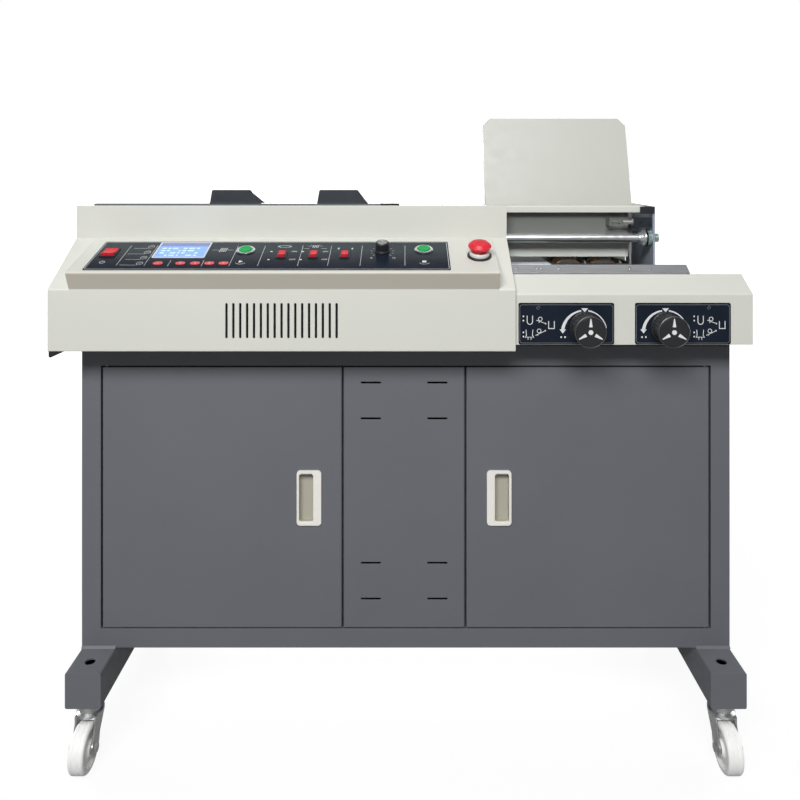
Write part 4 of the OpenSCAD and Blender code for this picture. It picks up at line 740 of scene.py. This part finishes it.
def dial_print(index):
    """Border, turning arrow, marker and plain signs of one dial plate; local millimetres from its corner."""
    w, h = DIAL_SIZE
    cx, cz = KNOB_X[index] - DIAL_X[index], 19.5
    shift = 0.0 if index == 0 else 90.8
    bm = bmesh.new()

    def line(points, width, closed=False):
        add_ribbon(bm, points, width, SUNK, INK_T, closed)

    def patch(points):
        add_prism(bm, points, SUNK, INK_T)

    # Two arcs that thin out from the arrow's head, and the marker on top
    steps = 28
    line(arc((cx, cz), 37.2, 172, 99, steps), [5.6 - 3.2 * i / steps for i in range(steps + 1)])
    line(arc((cx, cz), 37.2, 81, 12, steps), [2.4 - 1.2 * i / steps for i in range(steps + 1)])
    tip_x = cx - 36.8
    patch([(tip_x - 5.4, cz + 5.6), (tip_x, cz - 1.4), (tip_x + 5.4, cz + 5.6)])
    patch([(cx - 5.8, cz + 41), (cx, cz + 34.2), (cx + 5.8, cz + 41)])

    def sign(points, width=1.3, closed=False):
        line([(x + shift, z) for x, z in points], width, closed)

    # Tanks, rollers and scrapers
    sign([(14.5, 48)] + arc((19, 38), 4.5, 180, 360, 8) + [(23.5, 48)])
    sign([(50.5, 39), (50.5, 26.5), (60, 26.5), (60, 39)])
    sign([(12.5, 24.5), (13.2, 15.5), (11, 11)], 1.1)
    sign([(24, 24.5), (23.3, 15.5), (26, 11)], 1.1)
    sign([(11, 12), (26, 12)], 0.9)
    sign([(16, 12), (16, 7.5)], 0.9)
    sign([(21, 12), (21, 7.5)], 0.9)
    sign(ring((36.5, 42.5), 3.2, 20), 1.0, True)
    sign([(30, 40.5), (45.5, 35)], 1.0)
    sign([(36.5, 39.3), (34, 36)], 0.9)
    sign(ring((34.5, 22.5), 3.2, 20), 1.0, True)
    sign([(28.5, 15), (44.5, 22.5)], 1.0)
    sign([(34.5, 19.3), (32, 14.5)], 0.9)
    for x, z in ((45.5, 34.6), (44.8, 22.8)):
        patch(ring((x + shift, z), 1.3, 12))
    for z in (47, 39.8, 20, 13):
        patch(rounded_box(7 + shift, z - 1.3, 9.4 + shift, z + 1.3, 0.6, 2))
    for x in (cx - 39.5, cx - 33):
        patch(rounded_box(x - 1.2, 10.6, x + 1.2, 13.6, 0.5, 2))
    matrix = front(DIAL_X[index], TABLE_Y - FILM, DIAL_Z)
    add_piece("dial_print_%d" % (index + 1), from_bmesh(bm), WHITE_INK, "root", matrix)
    bm = bmesh.new()
    line(rounded_box(2.2, 2.2, w - 2.2, h - 3.2, 4.5), 0.8, True)
    line([(30 + shift, 61), (33.5 + shift, 64.5), (36 + shift, 62), (32.5 + shift, 58.5)], 0.6, True)
    add_piece("dial_border_%d" % (index + 1), from_bmesh(bm), GREY_INK, "root", matrix)


def knob_face(index):
    """White pointers and centre dot, and the thin ring, on a glue knob's front."""
    body = "glue_knob_%d" % (index + 1)
    matrix = front(KNOB_X[index], KNOB_FRONT, KNOB_Z)
    thick = 0.12
    bm = bmesh.new()
    for a in (90, 210, 330):
        c, s = math.cos(math.radians(a)), math.sin(math.radians(a))
        points = [(22.3, -0.7), (22.3, 0.7), (8.8, 2.9), (8.4, 0), (8.8, -2.9)]
        add_prism(bm, [(x * c - y * s, x * s + y * c) for x, y in points], SUNK, thick)
    add_prism(bm, ring((0, 0), 3.9, 32), SUNK, thick)
    add_piece(body + "_pointers", from_bmesh(bm), WHITE_INK, body, matrix)
    profile = [(25.2, -0.45), (25.9, -0.9), (26.1, -0.5), (25.3, 0.12), (24.4, 0.15), (24.1, -0.2)]
    add_piece(body + "_ring", lathe(profile, 72), M["tank_casting"], body, matrix)


# ---- Shade liners, glue and small parts ----


def shade_liner(name, x0, x1, y, z0, z1, rib=6.0):
    """Ribbed dark sheet behind slots, painted shade for the dark inside seen through them."""
    bm = bmesh.new()
    points = [(x0, 0.0)]
    count = max(2, int((x1 - x0) / rib))
    for i in range(count):
        a = x0 + (x1 - x0) * i / count
        b = x0 + (x1 - x0) * (i + 1) / count
        points += [(a + rib * 0.25, 0.8), (b - rib * 0.25, 0.8), (b, 0.0)]
    points += [(x1, -1.0), (x0, -1.0)]
    add_prism(bm, [(x, -depth) for x, depth in reversed(points)], z0, z1)
    add_piece(name, from_bmesh(bm), PAINTED_SHADE_LINER, "root",
              Matrix.Translation(place(0, y, 0)) @ Matrix.Scale(MM, 4))


def glue_crust(index, x):
    """Uneven film of dried glue round the front end of one roller."""
    steps, rows = 96, 28
    bm = bmesh.new()
    outer, inner = [], []
    skin, least, most = 0.05, 0.12, 1.6
    for j in range(rows + 1):
        t = j / rows
        line_out, line_in = [], []
        for k in range(steps):
            a = 2 * math.pi * k / steps
            c, s = math.cos(a), math.sin(a)
            p = Vector((c * 2.2, s * 2.2, t * 2.4 + index * 7))
            lump = max(0.0, noise.fractal(p * 1.7, 1.0, 2.0, 4) + 0.35)
            r = ROLLER_R + least + min(most, 1.5 * lump)
            line_out.append(bm.verts.new((r * c, t * CRUST_L, r * s)))
            line_in.append(bm.verts.new(((ROLLER_R + skin) * c, t * CRUST_L, (ROLLER_R + skin) * s)))
        outer.append(line_out)
        inner.append(line_in)
    for j in range(rows):
        for k in range(steps):
            i = (k + 1) % steps
            bm.faces.new((outer[j][k], outer[j][i], outer[j + 1][i], outer[j + 1][k]))
            bm.faces.new((inner[j][i], inner[j][k], inner[j + 1][k], inner[j + 1][i]))
    for j in (0, rows):
        for k in range(steps):
            i = (k + 1) % steps
            bm.faces.new((outer[j][k], inner[j][k], inner[j][i], outer[j][i]))
    mesh = from_bmesh(bm)
    smooth(mesh, 60)
    body = "glue_roller_%d" % index
    add_piece("glue_crust_%d" % index, mesh, GLUE, body,
              Matrix.Translation(place(x, ROLLER_Y, ROLLER_Z)) @ Matrix.Scale(MM, 4))


def corner_shade_wedge():
    """Dark wedge under the console cover's front left corner: painted shade where the side cover's lower corner
    shows.
    """
    bm = bmesh.new()
    # Painted shade: a black wedge where the side cover's lower edge would show in shadow
    points = [(-598, 702.2), (-598, 692.5), (-595, 691), (-576, 699.5), (-575, 702.2)]
    add_prism(bm, points, 0, 22)
    bmesh.ops.bevel(bm, geom=list(bm.edges), offset=0.5, segments=2, affect="EDGES", profile=0.6)
    add_piece("corner_shade_wedge", from_bmesh(bm), M["black_plastic"], "root", front(0, -42, 0))


console_print()
key_marks()
display_face()
switch_trim()
for i in (0, 1):
    dial_print(i)
    knob_face(i)
# Dark sheets behind the cover's vent slots and the centre panel's slots: painted shade
shade_liner("vent_shade_liner", -308, -108, -60.5, 718, 789)
shade_liner("panel_shade_liner", -100, 96, 17.0, 205, 655)
for i, x in enumerate(ROLLER_X):
    glue_crust(i + 1, x)
corner_shade_wedge()

# ---- Floor, light and camera ----


def stage():
    """Wide pale floor just under the wheels; the camera sees part of its brightness as plain white."""
    bm = bmesh.new()
    bmesh.ops.create_grid(bm, x_segments=8, y_segments=8, size=60.0)
    floor = bpy.data.objects.new("floor", from_bmesh(bm))
    bpy.context.scene.collection.objects.link(floor)
    floor.location.z = -0.0005
    n = Nodes("floor")
    n.value("Base Color", (0.32, 0.32, 0.32, 1))
    n.value("Roughness", 0.3)
    n.value("Specular IOR Level", 0.3)
    path = n.add("ShaderNodeLightPath")
    glow = n.add("ShaderNodeEmission")
    glow.inputs["Color"].default_value = (1, 1, 1, 1)
    glow.inputs["Strength"].default_value = 1.3
    # The share of plain white grows with the distance from the machine
    away = n.add("ShaderNodeVectorMath", operation="LENGTH")
    n.link(n.coords, away.inputs[0])
    share = n.add("ShaderNodeMapRange", interpolation_type="SMOOTHSTEP")
    for socket, number in (("From Min", 0.9), ("From Max", 3.0), ("To Min", 0.70), ("To Max", 1.0)):
        share.inputs[socket].default_value = number
    n.link(away.outputs["Value"], share.inputs["Value"])
    mix = n.add("ShaderNodeMixShader")
    n.link(n.product(path.outputs["Is Camera Ray"], share.outputs["Result"]), mix.inputs["Fac"])
    n.link(n.shader.outputs["BSDF"], mix.inputs[1])
    n.link(glow.outputs["Emission"], mix.inputs[2])
    n.link(mix.outputs["Shader"], n.tree.nodes["Material Output"].inputs["Surface"])
    floor.data.materials.append(n.material)


def sky(strength):
    """White behind the object, and a plain even light on it."""
    world = bpy.data.worlds.new("studio")
    bpy.context.scene.world = world
    world.use_nodes = True
    tree = world.node_tree
    back = tree.nodes["Background"]
    back.inputs["Color"].default_value = (1.0, 1.0, 1.0, 1)
    path = tree.nodes.new("ShaderNodeLightPath")
    level = tree.nodes.new("ShaderNodeMapRange")
    level.inputs["To Min"].default_value = strength
    level.inputs["To Max"].default_value = 1.0
    tree.links.new(path.outputs["Is Camera Ray"], level.inputs["Value"])
    tree.links.new(level.outputs["Result"], back.inputs["Strength"])


def lamp(name, location, target, size, watts):
    """Rectangular area lamp that faces a target."""
    light = bpy.data.lights.new(name, "AREA")
    light.shape = "RECTANGLE"
    light.size, light.size_y = size
    light.energy = watts
    item = bpy.data.objects.new(name, light)
    item.location = location
    item.rotation_euler = (Vector(target) - Vector(location)).to_track_quat("-Z", "Y").to_euler()
    bpy.context.scene.collection.objects.link(item)


stage()
sky(0.14)
# A steep key lamp from the front and a faint one from above
lamp("key", (-0.5, -3.0, 3.0), (0, -0.1, 0.6), (2.4, 1.0), 146)
lamp("top", (0.2, 0.7, 3.6), (0, 0, 0.9), (2.8, 1.2), 8)
# Behind the front faces: lamps for the back and the two ends
lamp("back", (0, 3.2, 1.5), (0, 0.2, 0.6), (2.4, 1.2), 58)
for side in (-1, 1):
    lamp("end", (side * 3.2, 0.45, 0.9), (side * 0.6, 0.05, 0.55), (1.2, 1.2), 34)

# Level camera a little above the console's wall; its shift takes in the casters
camera_data = bpy.data.cameras.new("camera")
camera = bpy.data.objects.new("camera", camera_data)
bpy.context.scene.collection.objects.link(camera)
camera.location = (0.008, -1.464, 1.012)
camera.rotation_euler = (math.pi / 2, 0, 0)
camera_data.sensor_width = 36.0
camera_data.lens = 33.75
camera_data.shift_x = -0.00725
camera_data.shift_y = -0.2925
camera_data.clip_start = 0.05
bpy.context.scene.camera = camera
bpy.context.scene.view_settings.view_transform = "Standard"
